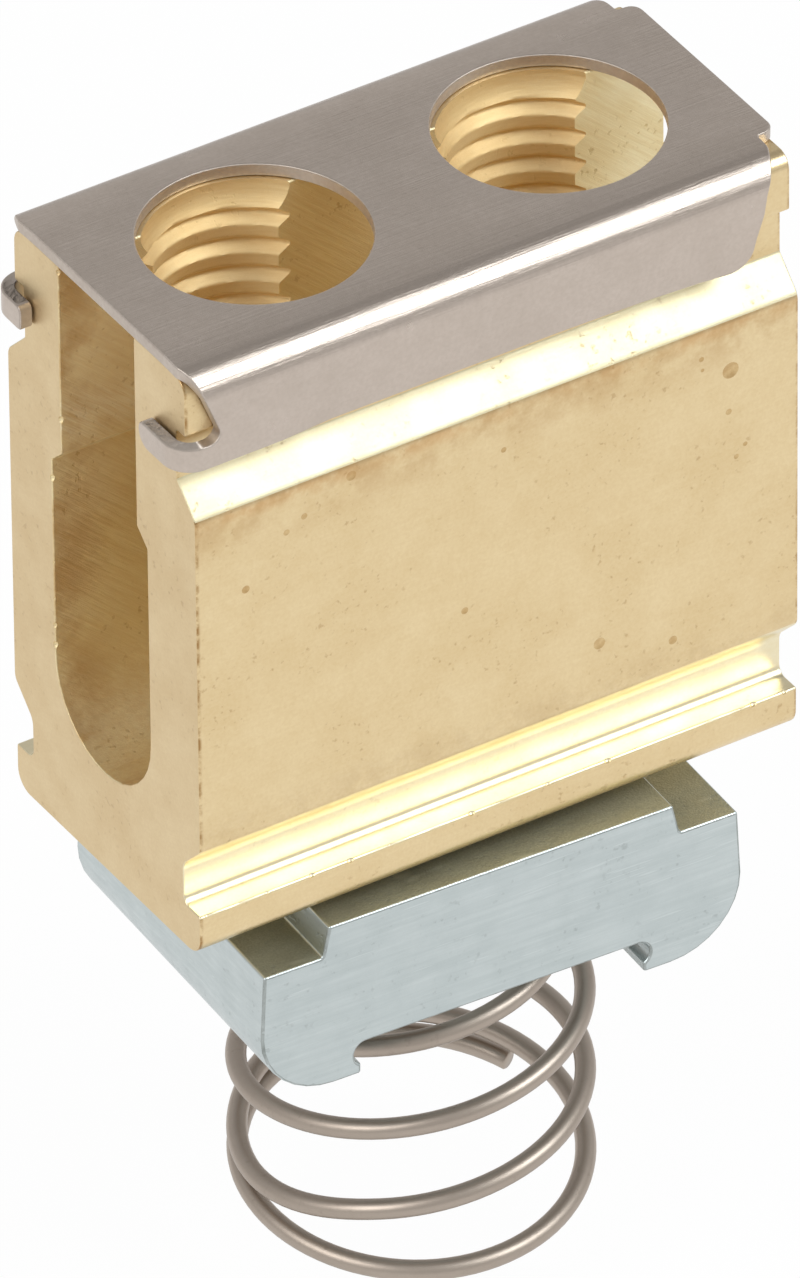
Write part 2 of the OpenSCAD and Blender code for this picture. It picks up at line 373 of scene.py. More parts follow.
def add(tree: Tree, kind: str, *first: object, group: Tree | None = None, **named: object) -> Node:
    """New shader node, with values or other nodes' outputs for its inputs.

    Args:
        tree: the node tree.
        kind: Blender's node type, after ShaderNode.
        first: values or outputs for its first inputs, in order.
        group: the shader group that a group node shows.
        named: the same as first, by input name, with _ for a space.

    Returns:
        The node.
    """
    node = tree.nodes.new("ShaderNode" + kind)
    if group:
        node.node_tree = group
    for socket, value in zip(node.inputs, first):
        feed(tree, socket, value)
    for name, value in named.items():
        feed(tree, node.inputs[name.replace("_", " ")], value)
    return node


def maths(tree: Tree, operation: str, *values: object) -> Socket:
    """Result of one of Blender's operations on values or outputs.

    Args:
        tree: the node tree.
        operation: Blender's name of it.
        values: the values or outputs, in order.

    Returns:
        The result.
    """
    node = add(tree, "Math", *values)
    node.operation = operation
    return node.outputs[0]


def times(tree: Tree, first: object, second: object) -> Socket:
    """Product of two values or outputs."""
    return maths(tree, "MULTIPLY", first, second)


def ramp(tree: Tree, value: Socket, low: float, high: float) -> Socket:
    """A value carried smoothly from 0 at low to 1 at high.

    Args:
        tree: the node tree.
        value: the value.
        low: where the result is 0.
        high: where the result is 1.

    Returns:
        The result.
    """
    node = add(tree, "MapRange", value, low, high)
    node.interpolation_type = "SMOOTHSTEP"
    return node.outputs["Result"]


def noise(tree: Tree, place: Socket, size: object, detail: float, rough: float = 0.5) -> Socket:
    """Noise at coordinates, from 0 to 1, with its size in patches per unit, about."""
    node = add(tree, "TexNoise", Vector=place, Scale=size, Detail=detail, Roughness=rough)
    return node.outputs["Fac"]


def tint(tree: Tree, share: object, first: object, second: object) -> Socket:
    """Mix of two colours, each a colour or an output.

    Args:
        tree: the node tree.
        share: how much of the second colour it shows.
        first: the first colour.
        second: the second colour.

    Returns:
        The mixed colour.
    """
    node = add(tree, "Mix")
    node.data_type = "RGBA"
    for place, value in zip(MIX_COLOUR_INPUTS, (share, first, second)):
        feed(tree, node.inputs[place], value)
    return node.outputs[MIX_COLOUR_OUTPUT]


def colour(red: float, green: float, blue: float) -> tuple[float, ...]:
    """A screen colour of 0 to 255 as the linear colour that shaders use, by the usual sRGB curve.

    Args:
        red: its red.
        green: its green.
        blue: its blue.

    Returns:
        Linear red, green and blue, and an alpha of 1.
    """
    share = np.array([red, green, blue]) / 255
    linear = np.where(share <= 0.04045, share / 12.92, ((share + 0.055) / 1.055) ** 2.4)
    return (*linear.tolist(), 1.0)


def bare_tree(owner: bpy.types.Material | bpy.types.World) -> Tree:
    """The node tree of a material or world, emptied.

    Args:
        owner: the material or world.

    Returns:
        The tree.
    """
    owner.use_nodes = True
    owner.node_tree.nodes.clear()
    return owner.node_tree


def new_group(name: str, inputs: list[str], outputs: list[str]) -> tuple[Tree, Node, Node]:
    """Empty shader group that takes a vector and named numbers, and gives named numbers.

    Args:
        name: the group's name.
        inputs: name of each number it takes.
        outputs: name of each number it gives.

    Returns:
        The tree, its input node and its output node.
    """
    tree = bpy.data.node_groups.new(name, "ShaderNodeTree")
    tree.interface.new_socket("Vector", in_out="INPUT", socket_type="NodeSocketVector")
    for way, labels in (("INPUT", inputs), ("OUTPUT", outputs)):
        for label in labels:
            tree.interface.new_socket(label, in_out=way, socket_type="NodeSocketFloat")
    return tree, tree.nodes.new("NodeGroupInput"), tree.nodes.new("NodeGroupOutput")


def speckle_group() -> Tree:
    """Sparse small ticks, wide clouds and fine grain, each from 0 to 1.

    A tick shows where a fine noise is high and a coarse noise is high too, which gathers the ticks in
    loose groups.

    Returns:
        The group.
    """
    sizes = ["Tick Size", "Cloud Size", "Grain Size"]
    tree, taken, given = new_group("ticks_and_clouds", sizes, ["Tick", "Cloud", "Grain"])
    place = taken.outputs["Vector"]
    tick_size, cloud_size, grain_size = (taken.outputs[label] for label in sizes)
    spots = ramp(tree, noise(tree, place, tick_size, detail=2.0), low=0.6, high=0.74)
    groups = ramp(tree, noise(tree, place, cloud_size, detail=2.0), low=0.42, high=0.62)
    clouds = ramp(tree, noise(tree, place, cloud_size, detail=6.0, rough=0.62), low=0.25, high=0.75)
    grains = ramp(tree, noise(tree, place, grain_size, detail=2.0), low=0.2, high=0.8)
    for socket, mask in zip(given.inputs, (times(tree, spots, groups), clouds, grains)):
        feed(tree, socket, mask)
    return tree


def marks_group() -> Tree:
    """Fine parallel marks and a few deeper scratches, each from 0 to 1.

    The material stretches the coordinates along the marks.

    Returns:
        The group.
    """
    tree, taken, given = new_group("drawn_marks", [], ["Mark", "Scratch"])
    place = taken.outputs["Vector"]
    marks = ramp(tree, noise(tree, place, size=1.0, detail=5.0, rough=0.65), low=0.25, high=0.75)
    scratches = ramp(tree, noise(tree, place, size=2.0, detail=1.0), low=0.66, high=0.74)
    for socket, mask in zip(given.inputs, (marks, scratches)):
        feed(tree, socket, mask)
    return tree


@dataclass(frozen=True)
class Effects:
    """The shader groups that the finishes share."""

    speckle: Tree
    marks: Tree

    @classmethod
    def make(cls) -> Effects:
        """Builds each group once."""
        return cls(speckle_group(), marks_group())


@dataclass(frozen=True)
class DirtAndLightBand:
    """A band of broken colour across a piece, used for dirt and for painted shade, painted reflections and
    painted glints.

    Attributes:
        axis: the axis that the band stands on, X, Y or Z.
        middle: where its middle is.
        reach: how far it goes to each side.
        share: how much of its colour it shows.
        size: patches per millimetre, about.
        tone: its screen colour.
        streaky: whether its patches are stretched along the finish's marks.
    """

    axis: str
    middle: float
    reach: float
    share: float
    size: float
    tone: Triple = (160, 118, 66)
    streaky: bool = False

    def mask(self, tree: Tree, place: Socket, along: Socket) -> Socket:
        """The band's strength: it fades to both sides of its middle and breaks up in patches.

        Args:
            tree: the material's tree.
            place: coordinates in millimetres.
            along: the same, stretched along the finish's marks.

        Returns:
            The strength, from 0 to share.
        """
        split = add(tree, "SeparateXYZ", place)
        away = maths(tree, "ABSOLUTE", maths(tree, "SUBTRACT", split.outputs[self.axis], self.middle))
        near = ramp(tree, away, low=self.reach, high=0.0)
        ground = along if self.streaky else place
        patches = ramp(tree, noise(tree, ground, self.size, detail=4.0, rough=0.65), low=0.38, high=0.66)
        return times(tree, times(tree, near, patches), self.share)


@dataclass(frozen=True)
class MetalFinish:
    """A bare or plated metal with clouds, ticks, grain and parallel marks.

    Attributes:
        name: material name.
        slot: the record's material slot; not used.
        clean: screen colour of the clean metal.
        cloudy: screen colour where it is clouded.
        ticked: screen colour of its ticks.
        rough: roughness where clean.
        rough_cloud: roughness added by clouds.
        turn: turn of the marks about X, Y and Z in degrees.
        grain: scale of the marks' coordinates along X, Y and Z, small along the marks.
        cloud_share: how much of the cloudy colour a cloud shows.
        tick_share: how much of the ticks' colour a tick shows.
        mark_share: how much of the cloudy colour a mark shows.
        scratch_share: how much of the clean colour a scratch shows.
        grain_share: how much of the cloudy colour the fine grain shows.
        tick_size: ticks per millimetre, about.
        cloud_size: clouds per millimetre, about.
        grain_size: grains per millimetre, about.
        mark_bump: height of the marks.
        tick_bump: depth of the ticks.
        grain_bump: height of the fine grain.
        dirt_and_light_bands: bands of dirt, and bands of painted shade, painted reflection and painted
            glints.
    """

    name: str
    slot: str
    clean: Triple
    cloudy: Triple
    ticked: Triple
    rough: float
    rough_cloud: float = 0.05
    turn: Triple = (0.0, 0.0, 0.0)
    grain: Triple = (0.2, 6.0, 6.0)
    cloud_share: float = 0.4
    tick_share: float = 0.5
    mark_share: float = 0.15
    scratch_share: float = 0.2
    grain_share: float = 0.15
    tick_size: float = 3.0
    cloud_size: float = 0.2
    grain_size: float = 14.0
    mark_bump: float = 0.003
    tick_bump: float = 0.01
    grain_bump: float = 0.001
    dirt_and_light_bands: tuple[DirtAndLightBand, ...] = ()

    def material(self, effects: Effects) -> bpy.types.Material:
        """Builds the node material.

        Args:
            effects: the shared shader groups.

        Returns:
            The material.
        """
        made = bpy.data.materials.new(self.name)
        tree = bare_tree(made)
        metre = add(tree, "TexCoord").outputs["Object"]
        place = add(tree, "Mapping", Vector=metre, Scale=(1 / MM, 1 / MM, 1 / MM)).outputs["Vector"]
        sizes = {"Tick_Size": self.tick_size, "Cloud_Size": self.cloud_size, "Grain_Size": self.grain_size}
        speckle = add(tree, "Group", group=effects.speckle, Vector=place, **sizes).outputs
        turn = tuple(math.radians(angle) for angle in self.turn)
        turned_place = add(tree, "Mapping", Vector=place, Rotation=turn).outputs["Vector"]
        along = add(tree, "Mapping", Vector=turned_place, Scale=self.grain).outputs["Vector"]
        marks = add(tree, "Group", group=effects.marks, Vector=along).outputs

        clean, cloudy, ticked = colour(*self.clean), colour(*self.cloudy), colour(*self.ticked)
        base = clean
        for mask, share, tone in (
            (speckle["Cloud"], self.cloud_share, cloudy),
            (speckle["Grain"], self.grain_share, cloudy),
            (marks["Mark"], self.mark_share, cloudy),
            (marks["Scratch"], self.scratch_share, clean),
            (speckle["Tick"], self.tick_share, ticked),
        ):
            base = tint(tree, times(tree, mask, share), base, tone)
        # Bands of dirt, and bands of painted shade, painted reflection and painted glints, laid over the
        # base colour.
        for dirt_and_light_band in self.dirt_and_light_bands:
            base = tint(tree, dirt_and_light_band.mask(tree, place, along), base, colour(*dirt_and_light_band.tone))

        rough_most = self.rough + self.rough_cloud
        rough = add(tree, "MapRange", Value=speckle["Cloud"], To_Min=self.rough, To_Max=rough_most)
        rough = rough.outputs["Result"]
        shader = add(tree, "BsdfPrincipled", Base_Color=base, Metallic=1.0, Roughness=rough)
        lines = self.bump(tree, marks["Mark"], self.mark_bump)
        fine = self.bump(tree, speckle["Grain"], self.grain_bump, Normal=lines.outputs["Normal"])
        ticks = self.bump(tree, speckle["Tick"], self.tick_bump, Normal=fine.outputs["Normal"])
        ticks.invert = True
        feed(tree, shader.inputs["Normal"], ticks.outputs["Normal"])
        add(tree, "OutputMaterial", Surface=shader.outputs["BSDF"])
        return made

    @staticmethod
    def bump(tree: Tree, height: Socket, distance: float, **below: Socket) -> Node:
        """Relief of a height in millimetres, on top of the relief below it."""
        return add(tree, "Bump", Strength=1.0, Distance=distance * MM, Height=height, **below)


DRAWN_BRASS = MetalFinish(
    name="drawn_brass", slot="brass", clean=(240, 219, 176), cloudy=(218, 189, 137),
    ticked=(160, 118, 66), rough=0.3, cloud_share=0.35, cloud_size=0.35, tick_share=0.35,
    grain_share=0.3, grain_size=7.0,
    dirt_and_light_bands=(
        # Painted reflection: an orange line just under the shoulder, where its highlight fades into the
        # long face.
        DirtAndLightBand("Z", 23.3, 0.9, 0.5, 0.6, (204, 152, 92)),
        # Brown smudge under the shoulder, partly dirt and partly painted shade of the shoulder's rounding;
        # then a faint brown band along the rounding above the foot groove.
        DirtAndLightBand("Z", 23.0, 2.6, 0.4, 0.5, (184, 140, 84)), DirtAndLightBand("Z", 6.4, 1.4, 0.15, 0.6),
        # Painted reflection: broken dark lines along both end edges stand in for the dark reflection of
        # their rounded rims.
        DirtAndLightBand("X", -15.35, 0.16, 0.9, 1.6), DirtAndLightBand("X", 15.35, 0.14, 0.6, 1.6),
    ),
)
BRASS = {
    Zone.DRAWN: DRAWN_BRASS,
    Zone.SAWN: replace(
        DRAWN_BRASS, name="sawn_brass", clean=(233, 212, 171), cloudy=(213, 186, 141),
        ticked=(150, 112, 66), rough=0.4, turn=(20.0, 0.0, 0.0), grain=(6.0, 0.6, 4.0),
        cloud_share=0.5, tick_share=0.22, dirt_and_light_bands=(),
    ),
    Zone.SLOTTED: MetalFinish(
        name="slotted_brass", slot="brass", clean=(252, 242, 206), cloudy=(233, 212, 162),
        ticked=(200, 172, 112), rough=0.5, rough_cloud=0.12, turn=(0.0, -42.0, 0.0),
        grain=(0.35, 5.0, 5.0), mark_bump=0.01, mark_share=0.6,
        dirt_and_light_bands=(
            # Painted shade: patchy darkening of the slot's walls towards the opening at the hooked end.
            DirtAndLightBand("X", -15.4, 4.0, 0.6, 0.3, (200, 160, 98)),
            # Painted glints: pale streaks along the brushing, in a band round z 22 on the slot's walls.
            DirtAndLightBand("Z", 22.0, 2.4, 0.5, 1.3, (255, 250, 226), streaky=True),
        ),
    ),
    Zone.TAPPED: MetalFinish(
        name="tapped_brass", slot="brass", clean=(244, 222, 174), cloudy=(224, 194, 138),
        ticked=(190, 154, 96), rough=0.58, rough_cloud=0.08, grain=(0.8, 0.8, 8.0), mark_bump=0.004,
        mark_share=0.4, tick_share=0.2,
    ),
    # Painted highlight: the shoulder's paler, whiter colour stands in for its washed-out highlight; its
    # roughness is its own.
    Zone.SHOULDER: replace(
        DRAWN_BRASS, name="shoulder_brass_painted_highlight", clean=(230, 224, 194), cloudy=(224, 206, 160), rough=0.47,
        dirt_and_light_bands=(),
    ),
    # Painted highlight: the groove's paler colour whitens its highlight; its lower roughness is its own.
    Zone.GROOVE: replace(
        DRAWN_BRASS, name="groove_brass_painted_highlight", clean=(246, 236, 205), cloudy=(234, 217, 172), rough=0.32,
        rough_cloud=0.04, mark_bump=0.001, tick_share=0.15, tick_bump=0.001, grain_bump=0.0003,
        dirt_and_light_bands=(),
    ),
    # Painted shade: the dents' darker, browner clouds stand in for the shade in them.
    Zone.DENTED: replace(
        DRAWN_BRASS, name="dented_brass_painted_shade", clean=(228, 202, 153), cloudy=(186, 146, 90), cloud_size=2.2,
        cloud_share=0.6,
    ),
}
SHEET = MetalFinish(
    name="rolled_sheet", slot="stainless_sheet", clean=(208, 195, 184), cloudy=(193, 180, 168),
    ticked=(150, 138, 126), rough=0.27, rough_cloud=0.06, cloud_share=0.5, cloud_size=0.5,
    tick_share=0.1, grain=(0.25, 9.0, 9.0), grain_share=0.6, grain_size=5.0, mark_bump=0.006,
    tick_bump=0.002, grain_bump=0.0005,
)
SHEARED = replace(
    SHEET, name="sheared_sheet", clean=(214, 204, 194), rough=0.5, grain=(4.0, 4.0, 1.0),
    mark_bump=0.002,
)
ZINC = MetalFinish(
    name="zinc_plate", slot="zinc_plated_steel", clean=(209, 217, 217), cloudy=(182, 192, 192),
    ticked=(140, 146, 144), rough=0.3, rough_cloud=0.1, grain=(0.16, 0.5, 4.0), cloud_share=0.3,
    cloud_size=0.5, tick_share=0.3, mark_share=0.55, scratch_share=0.8, mark_bump=0.004,
)
# Painted reflection: the nut's upright rims are darker and streaked, standing in for their dark reflection.
ZINC_EDGE = replace(
    ZINC, name="zinc_edge_painted_reflection", clean=(198, 205, 204), cloudy=(138, 144, 141), rough=0.42,
    grain=(3.0, 3.0, 1.2), mark_share=0.8,
)
# Painted reflection: the olive tint and dark grain of the nut's upward faces stand in for the brass body
# reflected in them; their roughness is their own.
ZINC_TOP = replace(
    ZINC, name="zinc_top_painted_reflection", clean=(214, 215, 196), cloudy=(176, 176, 154), rough=0.55,
    grain_share=0.7, grain_size=11.0, grain_bump=0.01, mark_bump=0.002,
)
WIRE = MetalFinish(
    name="drawn_wire", slot="spring_wire", clean=(184, 172, 160), cloudy=(164, 151, 139),
    ticked=(130, 118, 106), rough=0.38, rough_cloud=0.08, grain=(3.0, 3.0, 9.0), mark_bump=0.001,
    tick_share=0.2, tick_bump=0.002,
)
SCREW = MetalFinish(
    name="screw_plate", slot="screw_steel", clean=(200, 202, 205), cloudy=(180, 182, 184),
    ticked=(120, 120, 120), rough=0.3, grain=(2.0, 2.0, 0.4),
)


# The pieces


class ClampPiece:
    """What the pieces share: how they are dressed and joined to the frame.

    Attributes:
        body: the CAD body it rides on.
        node: the CAD node it stands for.
        finishes: its finishes, in the order of its faces' material indices.
    """

    body = ""
    node = ""
    finishes: tuple[MetalFinish, ...] = ()

    def build(self) -> Piece:
        """The bare piece, with each face's material index."""
        raise NotImplementedError

    def dress(self, piece: Piece, effects: Effects) -> None:
        """Gives a piece its finishes, and lets it stand for its CAD node and ride on its body.

        Args:
            piece: the bare piece.
            effects: the shared shader groups.
        """
        (index,) = face_values(piece, "material_index", 1)
        piece.data.materials.clear()
        for finish in self.finishes:
            piece.data.materials.append(finish.material(effects))
        mark_faces(piece, index)
        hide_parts(self.node)
        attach(piece, self.body)


@dataclass(frozen=True)
class TappedHole:
    """A tapped hole as the volume to take out: thread, rounded lead-in and mouth."""

    crest_r: float = 4.55
    root_r: float = 4.98
    pitch: float = 1.5
    shift: float = 0.484
    lead_h: float = 1.28
    lead_power: float = 2.2
    low: float = 10.45
    top: float = 30.45
    over: float = 0.6
    cols: int = 96
    rows_a_pitch: int = 18

    def cutter(self, name: str, x: float) -> Piece:
        """Closed surface r(t, z): the larger of the thread and the rounded lead-in that ends in the mouth.

        The lead-in's share of the depth is 1 - (1 - s) ** lead_power, with s from 0 at its foot to 1 at
        the top.

        Args:
            name: the cutter's name.
            x: the hole's X.

        Returns:
            The cutter.
        """
        high = self.top + self.over
        rows = int((high - self.low) / self.pitch * self.rows_a_pitch)
        height = np.repeat(np.linspace(self.low, high, rows)[:, None], self.cols, 1)
        depth = self.root_r - self.crest_r
        thread = depth * thread_wave(round_angles(self.cols), height, self.pitch, self.shift)
        rise = np.clip((height - self.top) / self.lead_h + 1, 0, 1)
        lead = depth * (1 - (1 - rise) ** self.lead_power)
        return make_piece(name, *turned(self.crest_r + np.maximum(thread, lead), height, x))


@dataclass(frozen=True)
class Wear:
    """Small dents in the body's front face and chips along its edges, as volumes to take out.

    Attributes:
        dents: X, Z and radius of each dent.
        dent_depth: a dent's depth as a share of its radius.
        rings: points from a dent's middle to its rim.
        cols: points round a dent or chip.
        over: how far past its rim a dent's cutter goes, as a share of its radius.
        flat: radius of the flat in a dent's middle, as a share of its radius.
        proud: how far a dent's cutter stands out of the face.
        chip_gap: mean distance from one chip to the next.
        chip_stay: which part of its stretch of an edge a chip may be in.
        chip_r: smallest and largest radius of a chip.
        chip_reach: how far up and down a chip's rows go, in half turns.
        chip_rows: points from a chip's lower to its upper end.
        seed: start of the chips' random places.
    """

    dents: tuple[Triple, ...] = (
        (11.9, 20.83, 0.42), (11.8, 18.65, 0.16), (12.2, 16.1, 0.13), (12.65, 16.6, 0.12),
        (-12.9, 19.0, 0.2), (-1.8, 13.4, 0.18), (0.25, 21.2, 0.14), (5.1, 8.85, 0.3), (8.9, 7.5, 0.22),
        (10.4, 22.0, 0.13), (10.45, 21.4, 0.1), (-7.5, 22.9, 0.25), (-9.9, 21.7, 0.16),
        (-10.8, 21.2, 0.16),
    )
    dent_depth: float = 0.15
    rings: int = 6
    cols: int = 16
    over: float = 0.15
    flat: float = 0.08
    proud: float = 0.1
    chip_gap: float = 1.3
    chip_stay: tuple[float, float] = (0.2, 0.8)
    chip_r: tuple[float, float] = (0.09, 0.24)
    chip_reach: float = 0.48
    chip_rows: int = 7
    seed: int = 11

    def dent(self, x: float, z: float, radius: float, face_y: float) -> Shape:
        """A round bowl: at distance s from its middle it is depth * (1 - (s / radius) ** 2) deep.

        Args:
            x: the dent's X.
            z: its Z.
            radius: radius of its rim.
            face_y: the Y of the face, which looks to -Y.

        Returns:
            Points and faces of the closed cutter, facing outwards.
        """
        share = np.linspace(1 + self.over, self.flat, self.rings)
        sunk = radius * self.dent_depth * (1 - share**2)
        share, sunk = np.insert(share, 0, share[0]), np.insert(sunk, 0, sunk[0] - self.proud)
        angle = round_angles(self.cols)
        ring = np.stack([np.sin(angle), 0 * angle, np.cos(angle)], -1) * radius
        points = ring[None] * share[:, None, None] + np.stack([0 * sunk, sunk, 0 * sunk], -1)[:, None]
        return points.reshape(-1, 3) + (x, face_y, z), tube_faces(len(share), self.cols)

    def dented(self, x: Array, z: Array) -> Array:
        """Whether points of the front face, given by X and Z, lie within a dent's rim."""
        dents = np.array(self.dents)[:, None]
        return (np.hypot(x - dents[..., 0], z - dents[..., 1]) < dents[..., 2]).any(0)

    def chip(self, place: Array, radius: float) -> Shape:
        """A small ball, from an almost closed lower end to an almost closed upper end.

        Args:
            place: its middle.
            radius: its radius.

        Returns:
            Points and faces of the closed cutter, facing outwards.
        """
        rise = np.linspace(-self.chip_reach, self.chip_reach, self.chip_rows)[:, None] * np.pi
        whole = np.ones((1, self.cols))
        points, faces = turned(radius * np.cos(rise) * whole, radius * np.sin(rise) * whole)
        return points + place, faces

    def cutter(self, name: str, face_y: float, edges: Array) -> Piece:
        """All dents and chips as one mesh.

        Args:
            name: the cutter's name.
            face_y: the Y of the front face.
            edges: (n, 2, 3) start and end of each chipped edge.

        Returns:
            The cutter.
        """
        chance = np.random.default_rng(self.seed)
        parts = [self.dent(*dent, face_y) for dent in self.dents]
        for start, end in edges:
            count = int(np.linalg.norm(end - start) / self.chip_gap)
            for share in (np.arange(count) + chance.uniform(*self.chip_stay, count)) / count:
                parts.append(self.chip(start + (end - start) * share, chance.uniform(*self.chip_r)))
        starts = np.cumsum([0] + [len(points) for points, _ in parts])
        faces = [[i + start for i in face] for (_, group), start in zip(parts, starts) for face in group]
        return make_piece(name, np.concatenate([points for points, _ in parts]), faces)


@dataclass(frozen=True)
class TerminalBody(ClampPiece):
    """The slotted brass block with its two tapped holes."""

    body = "terminal"
    node = "terminal_body"
    finishes = tuple(BRASS[zone] for zone in Zone)

    length: float = 30.8
    height: float = 30.45
    half_w: float = 7.65
    lip_hw: float = 6.95
    lip_z: float = 27.6
    lip_r: float = 0.75
    neck_hw: float = 6.2
    neck_z: float = 24.95
    shoulder_z: float = 23.5
    side_z: float = 5.8
    groove_z: float = 4.35
    foot_h: float = 2.25
    foot_hw: float = 7.55
    foot_r: float = 1.0
    slot_y: float = 0.25
    slot_skew: float = 0.25
    slot_hw: float = 3.075
    slot_margin: float = 0.2
    seat_hw: float = 3.9
    step_z: float = 20.45
    wide_z: float = 19.675
    floor_t: float = 5.25
    hole_x: float = 7.5
    hole_reach: float = 5.06
    thread_face: float = 1.0
    rim: float = 0.07
    crisp: float = 0.12
    side_r: float = 0.7
    groove_r: float = 0.9
    shelf_r: float = 0.45
    screw_r: float = 2.2
    screw_low: float = -1.0
    screw_cols: int = 64
    head_r: float = 3.7
    head_seat: float = 2.2
    head_top: float = 7.2
    chip_out: float = 0.05
    inside_hw: float = 5.6
    near: float = 0.1
    end_near: float = 0.02
    end_facing: float = 0.9
    sloping: float = 0.2
    dent_least: float = 0.001

    def outline(self) -> Array:
        """The cross-section as one closed outline: up one side, into the slot and down the other.

        Returns:
            (n, 2) points in YZ, counter-clockwise.
        """
        crisp = self.crisp
        half = np.array(
            [
                (self.foot_hw, 0.0, self.foot_r),
                (self.foot_hw, self.foot_h, crisp),
                (self.neck_hw, self.foot_h, self.shelf_r),
                (self.neck_hw, self.groove_z, self.groove_r),
                (self.half_w, self.side_z, self.side_r),
                (self.half_w, self.shoulder_z, self.side_r),
                (self.neck_hw, self.neck_z, 2 * crisp),
                (self.neck_hw, self.lip_z, crisp),
                (self.lip_hw, self.lip_z, crisp),
                (self.lip_hw, self.height, self.lip_r),
                (self.slot_hw, self.height, crisp),
                (self.slot_hw, self.step_z, crisp),
                (self.seat_hw, self.wide_z, crisp),
                (self.seat_hw, self.floor_t, self.seat_hw - HAIR),
            ]
        )
        both = mirrored(half)
        both[np.abs(both[:, 0]) <= self.seat_hw, 0] += self.slot_y
        return rounded_loop(both)

    def screw_way(self) -> Piece:
        """The fixing screw's hole and its head's seat, as a stepped round cutter.

        Returns:
            The cutter.
        """
        radii = np.array([self.screw_r, self.screw_r, self.head_r, self.head_r])
        heights = np.array([self.screw_low, self.head_seat, self.head_seat, self.head_top])
        whole = np.ones(self.screw_cols)
        return make_piece("screw_way", *turned(radii[:, None] * whole, heights[:, None] * whole))

    def wear(self) -> Piece:
        """Dents of the front face, and chips on the foot's edge and the slot's edges at the hooked end.

        Returns:
            The cutter.
        """
        out = self.chip_out
        end = self.length / 2
        front_y, shelf_z = -self.foot_hw - out, self.foot_h + out
        seat_y, neck_y = self.slot_y + self.seat_hw - out, self.slot_y + self.slot_hw - out
        edges = [
            [(-end, front_y, shelf_z), (end, front_y, shelf_z)],
            [(-end - out, seat_y, self.floor_t + self.seat_hw), (-end - out, seat_y, self.wide_z)],
            [(-end - out, neck_y, self.step_z), (-end - out, neck_y, self.height)],
        ]
        return Wear().cutter("wear", -self.half_w, np.array(edges))

    def build(self) -> Piece:
        """The block with its holes cut. Its slot nears the middle by slot_skew towards the plain end.

        Returns:
            The block.
        """
        points, faces = prism(self.outline(), self.length, self.rim, Axis.CABLE)
        in_slot = np.abs(points[:, 1] - self.slot_y) < self.seat_hw + self.slot_margin
        in_slot &= points[:, 2] > self.floor_t - self.near
        points[in_slot, 1] -= self.slot_skew * (points[in_slot, 0] / self.length + 0.5)
        block = make_piece("brass_body", points, faces)
        hole = TappedHole()
        holes = [hole.cutter("left_thread", -self.hole_x), hole.cutter("right_thread", self.hole_x)]
        cut_away(block, [*holes, self.screw_way(), self.wear()])
        mark_faces(block, self.zones(block))
        return block

    def zones(self, block: Piece) -> Array:
        """Each face's zone: sawn ends, slot, tapped holes, shoulders, foot grooves, dents, drawn elsewhere.

        Args:
            block: the cut block.

        Returns:
            (faces,) zone values.
        """
        x, y, z = face_values(block, "center", 3) / MM
        facing_x, _, facing_z = np.abs(face_values(block, "normal", 3))
        (area,) = face_values(block, "area", 1)
        sawn = (np.abs(x) > self.length / 2 - self.end_near) & (facing_x > self.end_facing)
        inside = (np.abs(y) < self.inside_hw) & (z > self.near) & (z < self.height - HAIR) & ~sawn
        near_hole = np.hypot(np.abs(x) - self.hole_x, y) < self.hole_reach
        small = area < self.thread_face * MM**2
        outside = ~sawn & ~inside
        in_front = (np.abs(y + self.half_w) < self.near) & (y > self.dent_least - self.half_w)
        zones = {
            Zone.SAWN: sawn,
            Zone.SLOTTED: inside,
            Zone.TAPPED: inside & small & near_hole & (z > self.floor_t),
            Zone.SHOULDER: outside & (facing_z > self.sloping) & (z > self.shoulder_z) & (z < self.lip_z),
            Zone.GROOVE: outside & (z > self.foot_h - self.near) & (z < self.side_z),
            Zone.DENTED: outside & in_front & Wear().dented(x, z),
        }
        index = np.full(len(x), Zone.DRAWN.value)
        for zone, faces in zones.items():
            index[faces] = zone.value
        return index


